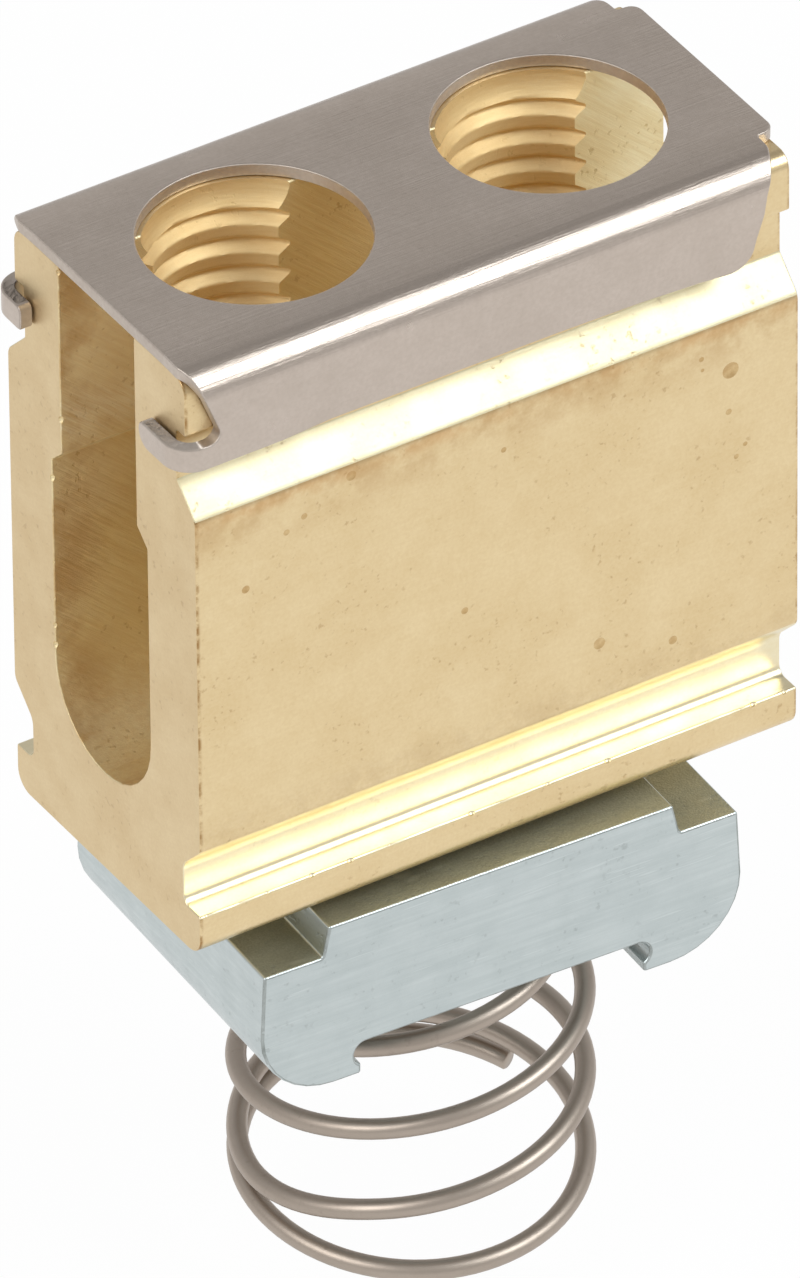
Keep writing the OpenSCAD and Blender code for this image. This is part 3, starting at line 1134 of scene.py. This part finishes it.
@dataclass(frozen=True)
class CoverClip(ClampPiece):
    """The cover as a flat blank that is folded along its long bends and its tabs' bends."""

    body = "cover"
    node = "cover_clip"
    finishes = (SHEET, SHEARED)

    sheet_t: float = 0.65
    under_z: float = 30.45
    bend_r: float = 0.8
    bend_y: float = 6.41
    soft_l: float = 1.6
    soft_turn: float = 0.09
    flange_l: float = 3.58
    front_lean: float = 0.16
    back_lean: float = -0.14
    hole_r: float = 5.15
    hole_x: float = 7.5
    hole_cols: int = 120
    low_x: float = -15.46
    low_r: float = 0.4
    high_x: float = 15.55
    tongue_hw: float = 5.6
    tongue_r: float = 0.6
    notch_r: float = 0.12
    bend_high_x: float = 14.6
    bend_high_r: float = 0.6
    flange_high_x: float = 13.8
    flange_high_r: float = 1.0
    end_straight: float = 1.2
    end_slant: float = 0.13
    end_drop: float = 0.17
    end_r: float = 1.5
    corner_x: float = 13.1
    corner_cut: float = 0.7
    corner_rise: float = 0.57
    corner_low_r: float = 1.2
    corner_high_r: float = 1.0
    hook_x: float = -14.76
    hook_r: float = 1.2
    tab_x: float = -13.81
    web_r: float = 0.5
    tab_h: float = 1.25
    tab_r: float = 0.7
    front_tip_y: float = 4.25
    back_tip_y: float = 5.35
    front_tip_r: float = 0.8
    back_tip_r: float = 0.25
    tip_top_r: float = 0.35
    edge: float = 0.07
    hem: tuple[tuple[float, float], ...] = (
        (-13.0, 0.03), (-10.8, 0.05), (-8.4, 0.22), (3.0, 0.22), (7.6, 0.14), (10.4, 0.0),
    )
    hem_r: float = 3.0
    outline_step: float = 0.14
    bend_rows: int = 13
    soft_rows: int = 5
    soft_last: float = 0.2
    column_gap: float = 0.5
    column_step: float = 0.7
    tab_rows: int = 4
    tab_gap: float = 0.25
    tab_columns: Triple = (-3.6, 0.3, 0.11)
    clear: float = 0.06
    fill_kind: int = 2
    tiny: float = 1e-6

    @property
    def middle_r(self) -> float:
        """Radius of a long bend at the sheet's middle."""
        return self.bend_r + self.sheet_t / 2

    @property
    def bend_l(self) -> float:
        """Length of a long bend along the sheet's middle, after its soft start."""
        return self.middle_r * (np.pi / 2 - self.soft_turn)

    @property
    def turn_x(self) -> float:
        """Where the tabs' bends start."""
        return self.low_x + self.tab_r

    @property
    def flange_y(self) -> float:
        """The flanges' inner faces' distance from the middle, before they lean."""
        return self.bend_y + self.bend_r - self.middle_r * math.sin(self.soft_turn)

    def tip_x(self, tip_y: float, lean: float) -> float:
        """Where a tab ends on the flat blank: its bend's length and its straight length past turn_x.

        Args:
            tip_y: the tip's distance from the middle.
            lean: its flange's lean.

        Returns:
            The place along the blank.
        """
        bent = (self.tab_r + self.sheet_t / 2) * np.pi / 2
        straight = self.flange_y - lean - self.tab_r - tip_y
        return self.turn_x - bent - straight

    def half_blank(self, tip_y: float, tip_r: float, lean: float) -> Array:
        """One side of the blank's outline, from its hooked end to its plain end.

        Args:
            tip_y: the tab's tip's distance from the middle.
            tip_r: radius of the tip's lower corner.
            lean: the flange's lean.

        Returns:
            (n, 3) corners and radii.
        """
        side = self.bend_y + self.bend_l
        low = side + self.flange_l
        tab = low - self.tab_h
        tip = self.tip_x(tip_y, lean)
        end = low + self.end_drop
        return np.array(
            [
                (self.low_x, self.bend_y, self.low_r),
                (self.hook_x, side, self.hook_r),
                (self.tab_x, tab, self.web_r),
                (tip, tab, self.tip_top_r),
                (tip, low, tip_r),
                *((x, low - rise, self.hem_r) for x, rise in self.hem),
                (self.corner_x - self.corner_cut, end, self.corner_low_r),
                (self.corner_x, end - self.corner_rise, self.corner_high_r),
                (self.flange_high_x - self.end_slant, side + self.end_straight, self.end_r),
                (self.flange_high_x, side, self.flange_high_r),
                (self.bend_high_x, self.bend_y, self.bend_high_r),
                (self.bend_high_x, self.tongue_hw, self.notch_r),
                (self.high_x, self.tongue_hw, self.tongue_r),
            ]
        )

    def blank(self) -> Array:
        """The blank's whole outline, counter-clockwise, with points close enough to fold smoothly.

        Returns:
            (n, 2) points, along and across.
        """
        front = self.half_blank(self.front_tip_y, self.front_tip_r, self.front_lean) * (1, -1, 1)
        back = self.half_blank(self.back_tip_y, self.back_tip_r, self.back_lean)[::-1]
        return self.filled(rounded_loop(np.concatenate([front, back])), self.outline_step)

    @staticmethod
    def filled(loop: Array, step: float) -> Array:
        """A loop with even points added on its long edges.

        Args:
            loop: (n, 2) points.
            step: the most that two points may be apart.

        Returns:
            (m, 2) points.
        """
        edge = np.roll(loop, -1, 0) - loop
        counts = np.maximum(1, np.ceil(np.linalg.norm(edge, axis=1) / step)).astype(int)
        start = np.repeat(np.arange(len(loop)), counts)
        past_start = np.arange(counts.sum()) - np.repeat(np.cumsum(counts) - counts, counts)
        return loop[start] + edge[start] * (past_start / np.repeat(counts, counts))[:, None]

    def fold(self, flat: Array, depth: float) -> Array:
        """Folds points of the blank to their place in the cover.

        Across the cover, a point is on the plate, which curves down by soft_turn before bend_y. Then it
        is at angle soft_turn + (w - bend_y) / middle radius round a bend, and then on the flange, which
        leans in as it goes down. Beyond turn_x a point of the tabs goes round the tab's bend in the same
        way and then straight towards the middle.

        Args:
            flat: (n, 2) points of the blank, along and across.
            depth: distance from the sheet's inner face.

        Returns:
            (n, 3) points.
        """
        along, across = flat.T
        side, width = np.sign(across), np.abs(across)
        soft = np.clip(width - self.bend_y + self.soft_l, 0, self.soft_l)
        arc = np.clip(width - self.bend_y, 0, self.bend_l)
        drop = np.clip(width - self.bend_y - self.bend_l, 0, None)
        turn = self.soft_turn * soft / self.soft_l + arc / self.middle_r
        full_lean = np.where(side < 0, self.front_lean, self.back_lean)
        lean = full_lean * np.clip(drop / (self.flange_l - self.tab_h), 0, 1)
        off = depth - self.sheet_t / 2
        out = self.middle_r * (np.sin(turn) - math.sin(self.soft_turn)) * (arc > 0)
        y = np.minimum(width, self.bend_y) + out + off * np.sin(turn) - lean
        sink = self.soft_turn * soft**2 / (2 * self.soft_l)
        sink += self.middle_r * (math.cos(self.soft_turn) - np.cos(turn)) * (arc > 0)
        z = self.under_z + self.sheet_t / 2 - sink - drop + off * np.cos(turn)
        tab = (along < self.turn_x) & (drop > self.flange_l - self.tab_h - self.tiny)
        tab_middle = self.tab_r + self.sheet_t / 2
        run = np.clip(self.turn_x - along, 0, None)
        hook = np.clip(run / tab_middle, 0, np.pi / 2)
        rim = self.flange_y - full_lean - self.tab_r
        tab_y = rim + (self.tab_r + depth) * np.cos(hook) - (run - hook * tab_middle)
        x = np.where(tab, self.turn_x - (self.tab_r + depth) * np.sin(hook), along)
        return np.stack([x, side * np.where(tab, tab_y, y), z], 1)

    def inner_points(self) -> Array:
        """Rows of points on the bends, and columns on the tabs' bends, that let the blank fold smoothly.

        Returns:
            (n, 2) points, along and across.
        """
        bends = self.bend_y + self.bend_l * np.linspace(0, 1, self.bend_rows)
        soft = self.bend_y - self.soft_l * np.linspace(1, self.soft_last, self.soft_rows)
        along = np.arange(self.low_x + self.column_gap, self.high_x - self.column_gap, self.column_step)
        low = self.bend_y + self.bend_l + self.flange_l
        tabs = np.linspace(low - self.tab_h + self.tab_gap, low - self.tab_gap, self.tab_rows)
        first, last, step = self.tab_columns
        lines = np.arange(self.turn_x + first, self.turn_x + last, step)
        grids = []
        for columns, rows in ((along, np.concatenate([soft, bends, [0.0]])), (lines, tabs)):
            grid = np.meshgrid(columns, np.concatenate([rows, -rows]))
            grids.append(np.stack(grid, -1).reshape(-1, 2))
        return np.concatenate(grids)

    @staticmethod
    def within(points: Array, loops: list[Array]) -> Array:
        """Which points lie inside the first loop and outside the others, by the edges that a ray crosses.

        Args:
            points: (n, 2) points.
            loops: the outline and the holes.

        Returns:
            (n,) whether each point does.
        """
        x, y = points[:, :1], points[:, 1:]
        inside = []
        for a in loops:
            b = np.roll(a, -1, 0)
            crosses = (a[:, 1] > y) != (b[:, 1] > y)
            with np.errstate(divide="ignore", invalid="ignore"):
                at = a[:, 0] + (y - a[:, 1]) / (b[:, 1] - a[:, 1]) * (b[:, 0] - a[:, 0])
            inside.append((crosses & (x < at)).sum(1) % 2 == 1)
        return inside[0] & ~np.any(inside[1:], axis=0)

    def skin(self, loops: list[Array], edges: Array) -> tuple[Array, Array, Array]:
        """Triangles that fill the blank between its outline and its holes, moved in by the edge's radius.

        Args:
            loops: the outline and the holes.
            edges: (n, 2) point indices of the loops' edges.

        Returns:
            The flat points, the triangles, and where each point of the loops is among the flat points.
        """
        inset = [inset_loop(loop, self.edge) for loop in loops]
        spare = self.inner_points()
        holes = [inset_loop(hole, -self.clear) for hole in loops[1:]]
        clear = self.within(spare, [inset_loop(loops[0], self.edge + self.clear), *holes])
        given = np.concatenate([*inset, spare[clear]])
        made = delaunay_2d_cdt(given.tolist(), edges.tolist(), [], self.fill_kind, self.tiny)
        flat, triangles = np.array(made[0]), np.array(made[2])
        place = np.empty(len(given), int)
        place[[source[0] for source in made[3]]] = np.arange(len(flat))
        kept = self.within(flat[triangles].mean(1), inset)
        return flat, triangles[kept], place[: len(edges)]

    def build(self) -> Piece:
        """The folded cover: two skins of one triangulated blank, joined by rounded edges.

        Returns:
            The cover.
        """
        angle = round_angles(self.hole_cols)
        circle = self.hole_r * np.stack([np.cos(angle), -np.sin(angle)], 1)
        loops = [self.blank(), circle + (-self.hole_x, 0), circle + (self.hole_x, 0)]
        wall = np.concatenate(loops)
        start = np.arange(len(wall))
        breaks = np.cumsum([len(loop) for loop in loops])[:-1]
        end = np.concatenate([np.roll(part, -1) for part in np.split(start, breaks)])
        flat, skin, place = self.skin(loops, np.stack([start, end], 1))
        count, tall = len(flat), self.sheet_t
        outer, inner = self.fold(flat, tall), self.fold(flat, 0.0)
        layers = [outer, inner, self.fold(wall, tall - self.edge), self.fold(wall, self.edge)]
        rows = [place, 2 * count + start, 2 * count + len(wall) + start, count + place]
        strips = [np.stack([a, b, b[end], a[end]], 1) for a, b in zip(rows, rows[1:])]
        faces = skin.tolist() + (skin[:, ::-1] + count).tolist() + np.concatenate(strips).tolist()
        cover = make_piece("folded_cover", np.concatenate(layers), faces, sharp=180)
        out = outer - inner
        away = np.concatenate([inset_loop(loop, -HAIR) for loop in loops])
        side = self.fold(away, tall / 2) - self.fold(wall, tall / 2)
        normals = unit(np.concatenate([out, -out, side, side]))
        cover.data.normals_split_custom_set_from_vertices(normals.tolist())
        mark_faces(cover, np.arange(len(faces)) >= 2 * len(skin))
        return cover


@dataclass(frozen=True)
class SlideNut(ClampPiece):
    """The stepped rail nut with its spring recess, turned a little on its screw."""

    body = "nut"
    node = "slide_nut"
    finishes = (ZINC, ZINC_TOP, ZINC_EDGE)

    width: float = 16.5
    turn: float = -2.5
    top_z: float = -0.7
    step_z: float = -2.25
    low_z: float = -9.25
    tongue_hl: float = 8.65
    root_hl: float = 9.0
    step_hl: float = 11.925
    half_l: float = 12.1
    corner_r: float = 3.6
    recess_hw: float = 7.15
    groove_r: float = 0.625
    groove_x: float = 6.845
    groove_z: float = -8.225
    groove_steps: int = 18
    rim: float = 0.12
    crisp: float = 0.14
    top_facing: float = 0.95
    rim_across: tuple[float, float] = (0.2, 0.98)
    rim_up: float = 0.3

    def outline(self) -> Array:
        """The lengthwise section, with a round wire groove behind each lip of the recess.

        Returns:
            (n, 2) points in XZ, counter-clockwise.
        """
        crisp = self.crisp
        lip = -math.acos((self.recess_hw - self.groove_x) / self.groove_r)
        bite = np.linspace(np.pi / 2, lip, self.groove_steps)
        groove = self.groove_r * np.stack([np.cos(bite), np.sin(bite), 0 * bite], 1)
        half = [
            (self.recess_hw, self.low_z, crisp),
            (self.half_l, self.low_z, self.corner_r),
            (self.half_l, self.low_z + self.corner_r, 0.0),
            (self.step_hl, self.step_z, crisp),
            (self.root_hl, self.step_z, crisp),
            (self.tongue_hl, self.top_z, crisp),
        ]
        return rounded_loop(mirrored(np.concatenate([groove + (self.groove_x, self.groove_z, 0), half])))

    def build(self) -> Piece:
        """The nut with its tapped hole, turned about the screw.

        Returns:
            The nut.
        """
        nut = make_piece("rail_nut", *prism(self.outline(), self.width, self.rim, Axis.ACROSS))
        hole = TappedHole(
            crest_r=1.75, root_r=2.05, pitch=0.7, shift=0.0, lead_h=0.4, low=self.low_z - 1,
            top=self.top_z, cols=48, rows_a_pitch=12,
        )
        cut_away(nut, [hole.cutter("nut_thread", 0.0)])
        nut.data.transform(Matrix.Rotation(math.radians(self.turn), 4, "Z"))
        _, across, up = face_values(nut, "normal", 3)
        least, most = self.rim_across
        upright_rim = (np.abs(across) > least) & (np.abs(across) < most) & (np.abs(up) < self.rim_up)
        beside = np.where(upright_rim, Face.EDGE.value, Face.SIDE.value)
        mark_faces(nut, np.where(up > self.top_facing, Face.TOP.value, beside))
        return nut


@dataclass(frozen=True)
class CoilSpring(ClampPiece):
    """The wire spring: a closed end, free coils and a drawn-in coil that sits in the nut.

    Places along the wire are angles round the coil in degrees, from the closed end up.
    """

    body = "coil"
    node = "spring"
    finishes = (WIRE,)

    wire_r: float = 0.475
    coil_r: float = 7.725
    seat_r: float = 6.845
    seat_z: float = -8.225
    pitch: float = 4.45
    end_pitch: float = 1.25
    tip: float = 24.0
    join: float = 528.0
    seat: float = 1420.8
    last: float = 1687.2
    free_lean: float = 4.7
    free_dir: float = -37.0
    end_lean: float = 8.0
    end_dir: float = 83.0
    join_ease: float = 120.0
    seat_ease: float = 60.0
    draw_in: float = 160.0
    sides: int = 20
    rings: int = 420
    rim: float = 0.06
    press: float = 9.0

    @staticmethod
    def ease(share: Array) -> Array:
        """Smooth step from 0 to 1."""
        held = np.clip(share, 0, 1)
        return held * held * (3 - 2 * held)

    def lean(self, angle: Array | float, still: float, tilt: float, way: float) -> Array | float:
        """Height that a lean adds: coil radius * tan(tilt) * cos(angle - way), less the same at still."""
        steep = self.coil_r * math.tan(math.radians(tilt))
        return steep * np.cos(np.radians(angle - way)) - steep * np.cos(np.radians(still - way))

    def free_z(self, angle: Array | float) -> Array | float:
        """Height of the free coils, which hang from the seat."""
        lean = self.lean(angle, self.seat, self.free_lean, self.free_dir)
        return self.seat_z + self.pitch * (angle - self.seat) / 360 + lean

    def wire_z(self, angle: Array) -> Array:
        """Height of the wire's middle, eased between the closed end, the free coils and the seat.

        Args:
            angle: places along the wire.

        Returns:
            The heights.
        """
        lean = self.lean(angle, self.join, self.end_lean, self.end_dir)
        end = self.free_z(self.join) + self.end_pitch * (angle - self.join) / 360 + lean
        joined = self.ease((angle - self.join) / self.join_ease + 0.5)
        seated = self.ease((angle - self.seat) / self.seat_ease + 1)
        open_z = end + (self.free_z(angle) - end) * joined
        return open_z + (self.seat_z - open_z) * seated

    def build(self) -> Piece:
        """The wire as a circle carried along the coil, with its cut ends rounded off.

        Returns:
            The wire.
        """
        angle = np.linspace(self.tip, self.last, self.rings)
        drawn_in = self.ease((angle - self.seat) / self.draw_in + 1)
        radius = self.coil_r + (self.seat_r - self.coil_r) * drawn_in
        turn = np.radians(angle)
        middle = np.stack([radius * np.cos(turn), radius * np.sin(turn), self.wire_z(angle)], 1)
        ahead = unit(np.gradient(middle, axis=0))
        out = np.stack([np.cos(turn), np.sin(turn), np.zeros_like(turn)], 1)
        out = unit(out - ahead * (out * ahead).sum(1, keepdims=True))
        ends = [middle[:1] - ahead[:1] * self.rim, middle, middle[-1:] + ahead[-1:] * self.rim]
        middle = np.concatenate(ends)[:, None]
        out, up = (np.pad(way, ((1, 1), (0, 0)), "edge")[:, None] for way in (out, np.cross(ahead, out)))
        girth = np.full(self.rings, self.wire_r)
        girth = np.pad(girth, 1, constant_values=self.wire_r - self.rim)[:, None, None]
        round_wire = round_angles(self.sides)[None, :, None]
        points = middle + girth * (out * np.cos(round_wire) + up * np.sin(round_wire))
        faces = [face[::-1] for face in tube_faces(len(middle), self.sides)]
        return make_piece("coil_spring", points.reshape(-1, 3), faces, sharp=50)

    def dress(self, piece: Piece, effects: Effects) -> None:
        """Dresses the spring, and gives it a mesh of its own.

        Args:
            piece: the bare wire.
            effects: the shared shader groups.
        """
        super().dress(piece, effects)
        points = np.empty(3 * len(piece.data.vertices))
        piece.data.vertices.foreach_get("co", points)
        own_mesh(piece)


@dataclass(frozen=True)
class FixingScrew(ClampPiece):
    """The socket-head screw that hangs the nut under the body."""

    body = "screw"
    node = "fixing_screw"
    finishes = (SCREW,)

    seat_z: float = 2.2
    head_r: float = 3.5
    head_h: float = 2.8
    head_foot: float = 0.2
    head_round: float = 0.3
    head_round_h: float = 0.35
    shank_r: float = 2.0
    core_r: float = 1.62
    pitch: float = 0.7
    length: float = 10.0
    tip_r: float = 1.3
    tip_h: float = 0.35
    socket_w: float = 2.5
    socket_h: float = 1.5
    socket_edge: float = 0.12
    drill_share: float = 0.35
    drill_h: float = 0.3
    ribs: int = 36
    rib_h: float = 0.06
    cols: int = 144
    shank_rows: int = 150

    def build(self) -> Piece:
        """One closed surface from the tip up the thread, over the ribbed head and down its hexagon socket.

        The socket's radius at angle t is w / 2 / cos(t - the nearest flat's angle).

        Returns:
            The screw.
        """
        angle = round_angles(self.cols)
        ribbed = self.head_r - self.rib_h * np.abs(np.cos(self.ribs / 2 * angle))
        flat = self.socket_w / 2 / np.cos((angle + np.pi / 6) % (np.pi / 3) - np.pi / 6)
        tip = self.seat_z - self.length
        shank = np.linspace(tip + self.tip_h, self.seat_z, self.shank_rows)
        wave = thread_wave(angle, shank[:, None], self.pitch)
        thread = self.core_r + (self.shank_r - self.core_r) * wave
        top = self.seat_z + self.head_h
        floor = top - self.socket_h
        whole = np.ones(self.cols)
        rows = [
            (self.tip_r * whole, tip),
            *zip(thread, shank),
            ((self.head_r - self.head_foot) * whole, self.seat_z),
            (ribbed, self.seat_z + self.head_foot),
            (ribbed, top - self.head_round_h),
            ((self.head_r - self.head_round) * whole, top),
            (flat + self.socket_edge, top),
            (flat, top - self.socket_edge),
            (flat, floor),
            (self.drill_share * flat, floor - self.drill_h),
        ]
        radius = np.stack([r for r, _ in rows])
        height = np.stack([z * whole for _, z in rows])
        return make_piece("socket_screw", *turned(radius, height), sharp=30)


# The studio


@dataclass(frozen=True)
class PhotoCamera:
    """The photograph's camera, as fitted to the object's edges."""

    azimuth: float = 32.0172
    elevation: float = 36.114
    roll: float = -0.5566
    distance: float = 1108.5
    px_a_mm: float = 23.0489
    aim: Triple = (0.0, 0.0, 17.52)
    aim_px: tuple[float, float] = (404.52, 432.91)
    frame_px: tuple[float, float] = (800.0, 1278.0)
    sensor: float = 36.0

    def build(self) -> Piece:
        """Camera at the fitted place, turned so that the frame's middle is on its axis.

        Returns:
            The camera.
        """
        turn, rise, roll = (math.radians(a) for a in (self.azimuth, self.elevation, self.roll))
        right = np.array([math.cos(turn), -math.sin(turn), 0.0])
        level = np.array([math.sin(turn), math.cos(turn), 0.0])
        ahead = level * math.cos(rise) - np.array([0, 0, math.sin(rise)])
        up = level * math.sin(rise) + np.array([0, 0, math.cos(rise)])
        cos, sin = math.cos(roll), math.sin(roll)
        right, up = right * cos + up * sin, up * cos - right * sin
        eye = np.array(self.aim) - ahead * self.distance
        across, down = ((size / 2 - at) / self.px_a_mm for size, at in zip(self.frame_px, self.aim_px))
        middle = np.array(self.aim) + right * across - up * down - eye
        back = -middle / np.linalg.norm(middle)
        right -= back * (right @ back)
        right /= np.linalg.norm(right)
        up = np.cross(back, right)
        data = bpy.data.cameras.new("photo_camera")
        data.sensor_width = self.sensor
        data.lens = self.sensor * float(np.linalg.norm(middle)) * self.px_a_mm / self.frame_px[1]
        camera = new_object("photo_camera", data)
        camera.matrix_world = Matrix((*zip(right, up, back, eye * MM), (0, 0, 0, 1)))
        bpy.context.scene.camera = camera
        return camera


@dataclass(frozen=True)
class SoftBox:
    """A square lamp that looks at the object."""

    name: str
    place: Triple
    width: float
    power: float
    tint: Triple = (1.0, 1.0, 1.0)

    def build(self, aim: Vector) -> Piece:
        """The lamp, turned to a point.

        Args:
            aim: the point, in metres.

        Returns:
            The lamp.
        """
        data = bpy.data.lights.new(self.name, "AREA")
        data.shape, data.size, data.energy, data.color = "SQUARE", self.width * MM, self.power, self.tint
        lamp = new_object(self.name, data)
        lamp.location = Vector(self.place) * MM
        lamp.rotation_euler = (aim - lamp.location).to_track_quat("-Z", "Y").to_euler()
        return lamp


@dataclass(frozen=True)
class Studio:
    """White studio: pale floor, two soft lamps and a room that is dimmer overhead.

    Attributes:
        floor_z: the floor's height, just under the spring when the nut is at its lowest.
        floor_half: half the floor's side.
        floor_pale: how far from the object the floor is at its palest.
        floor_dim: how far from the object it has dimmed.
        pale: the floor's light where it is palest.
        dim: its light where it has dimmed.
        glow: share of the floor's look that is its own white and takes no shadow.
        heights: the world's stops, as the height of a direction from -1 to 1.
        lights: the world's light at each stop.
        boxes: the lamps.
        aim_z: the height that the lamps look at.
        bounces: how often light is followed between the metal faces of the slot.
    """

    floor_z: float = -25.95
    floor_half: float = 1500.0
    floor_pale: float = 90.0
    floor_dim: float = 420.0
    pale: float = 0.95
    dim: float = 0.6
    glow: float = 0.96
    heights: tuple[float, ...] = (-0.1, 0.05, 0.3, 0.56, 0.74, 1.0)
    lights: tuple[float, ...] = (0.55, 0.5, 0.66, 0.62, 0.36, 0.36)
    boxes: tuple[SoftBox, ...] = (
        SoftBox("key_box", (320.0, -410.0, 465.0), 340.0, 2.2, (0.95, 1.0, 1.03)),
        SoftBox("side_box", (-524.0, -111.0, 450.0), 380.0, 1.8),
    )
    aim_z: float = 10.0
    bounces: int = 14

    def floor(self) -> Piece:
        """Flat pale floor under the spring, which keeps the object's shadow and is clear from below.

        Returns:
            The floor.
        """
        ways = ((-1, -1), (1, -1), (1, 1), (-1, 1))
        corners = np.array([(x * self.floor_half, y * self.floor_half, self.floor_z) for x, y in ways])
        plane = make_piece("floor", corners, [[0, 1, 2, 3]])
        made = bpy.data.materials.new("pale_floor")
        tree = bare_tree(made)
        path = add(tree, "LightPath").outputs
        place = add(tree, "TexCoord").outputs["Object"]
        flat = add(tree, "Mapping", Vector=place, Scale=(1 / MM, 1 / MM, 0.0)).outputs["Vector"]
        away = add(tree, "VectorMath", flat)
        away.operation = "LENGTH"
        far = ramp(tree, away.outputs["Value"], self.floor_pale, self.floor_dim)
        pale, dim = ((light, light, light, 1) for light in (self.pale, self.dim))
        seen = path["Is Camera Ray"]
        own = add(tree, "Emission", Color=tint(tree, seen, tint(tree, far, pale, dim), WHITE), Strength=1.0)
        matt = add(tree, "BsdfDiffuse", Color=pale)
        for kind in ("Is Glossy Ray", "Is Transmission Ray"):
            seen = maths(tree, "MAXIMUM", seen, path[kind])
        look = add(tree, "MixShader", times(tree, seen, self.glow), matt.outputs[0], own.outputs[0])
        below = add(tree, "NewGeometry").outputs["Backfacing"]
        clear = add(tree, "BsdfTransparent").outputs[0]
        under = add(tree, "MixShader", below, look.outputs[0], clear)
        add(tree, "OutputMaterial", Surface=under.outputs[0])
        plane.data.materials.append(made)
        return plane

    def room(self) -> None:
        """World light by height: white to the camera, and to the rest a room that is dimmer overhead."""
        world = bpy.data.worlds.new("studio_room")
        bpy.context.scene.world = world
        tree = bare_tree(world)
        split = add(tree, "SeparateXYZ", add(tree, "TexCoord").outputs["Generated"])
        share = add(tree, "MapRange", Value=split.outputs["Z"], From_Min=-1.0)
        shade = add(tree, "ValToRGB", Fac=share.outputs["Result"])
        shade.color_ramp.interpolation = "EASE"
        stops = shade.color_ramp.elements
        while len(stops) < len(self.heights):
            stops.new(0.5)
        for stop, height, light in zip(stops, self.heights, self.lights):
            stop.position = (height + 1) / 2
            stop.color = (light, light, light, 1)
        lit = add(tree, "Background", Color=shade.outputs["Color"], Strength=1.0)
        white = add(tree, "Background", Color=WHITE, Strength=1.0)
        seen = add(tree, "LightPath").outputs["Is Camera Ray"]
        mix = add(tree, "MixShader", seen, lit.outputs[0], white.outputs[0])
        add(tree, "OutputWorld", Surface=mix.outputs[0])

    def build(self) -> None:
        """Floor, room, lamps, camera and plain colour handling."""
        self.floor()
        self.room()
        for box in self.boxes:
            box.build(Vector((0, 0, self.aim_z * MM)))
        PhotoCamera().build()
        scene = bpy.context.scene
        scene.view_settings.view_transform = "Standard"
        scene.cycles.max_bounces = scene.cycles.glossy_bounces = self.bounces


def main() -> None:
    """Loads the frame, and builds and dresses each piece."""
    logging.basicConfig(level=logging.INFO, format="%(name)s: %(message)s")
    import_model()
    effects = Effects.make()
    for part in (TerminalBody(), CoverClip(), SlideNut(), CoilSpring(), FixingScrew()):
        piece = part.build()
        part.dress(piece, effects)
        faces = len(piece.data.polygons)
        LOG.info("%s: %d faces, stands for %s on %s", piece.name, faces, part.node, part.body)
    Studio().build()


if __name__ == "__main__":
    main()
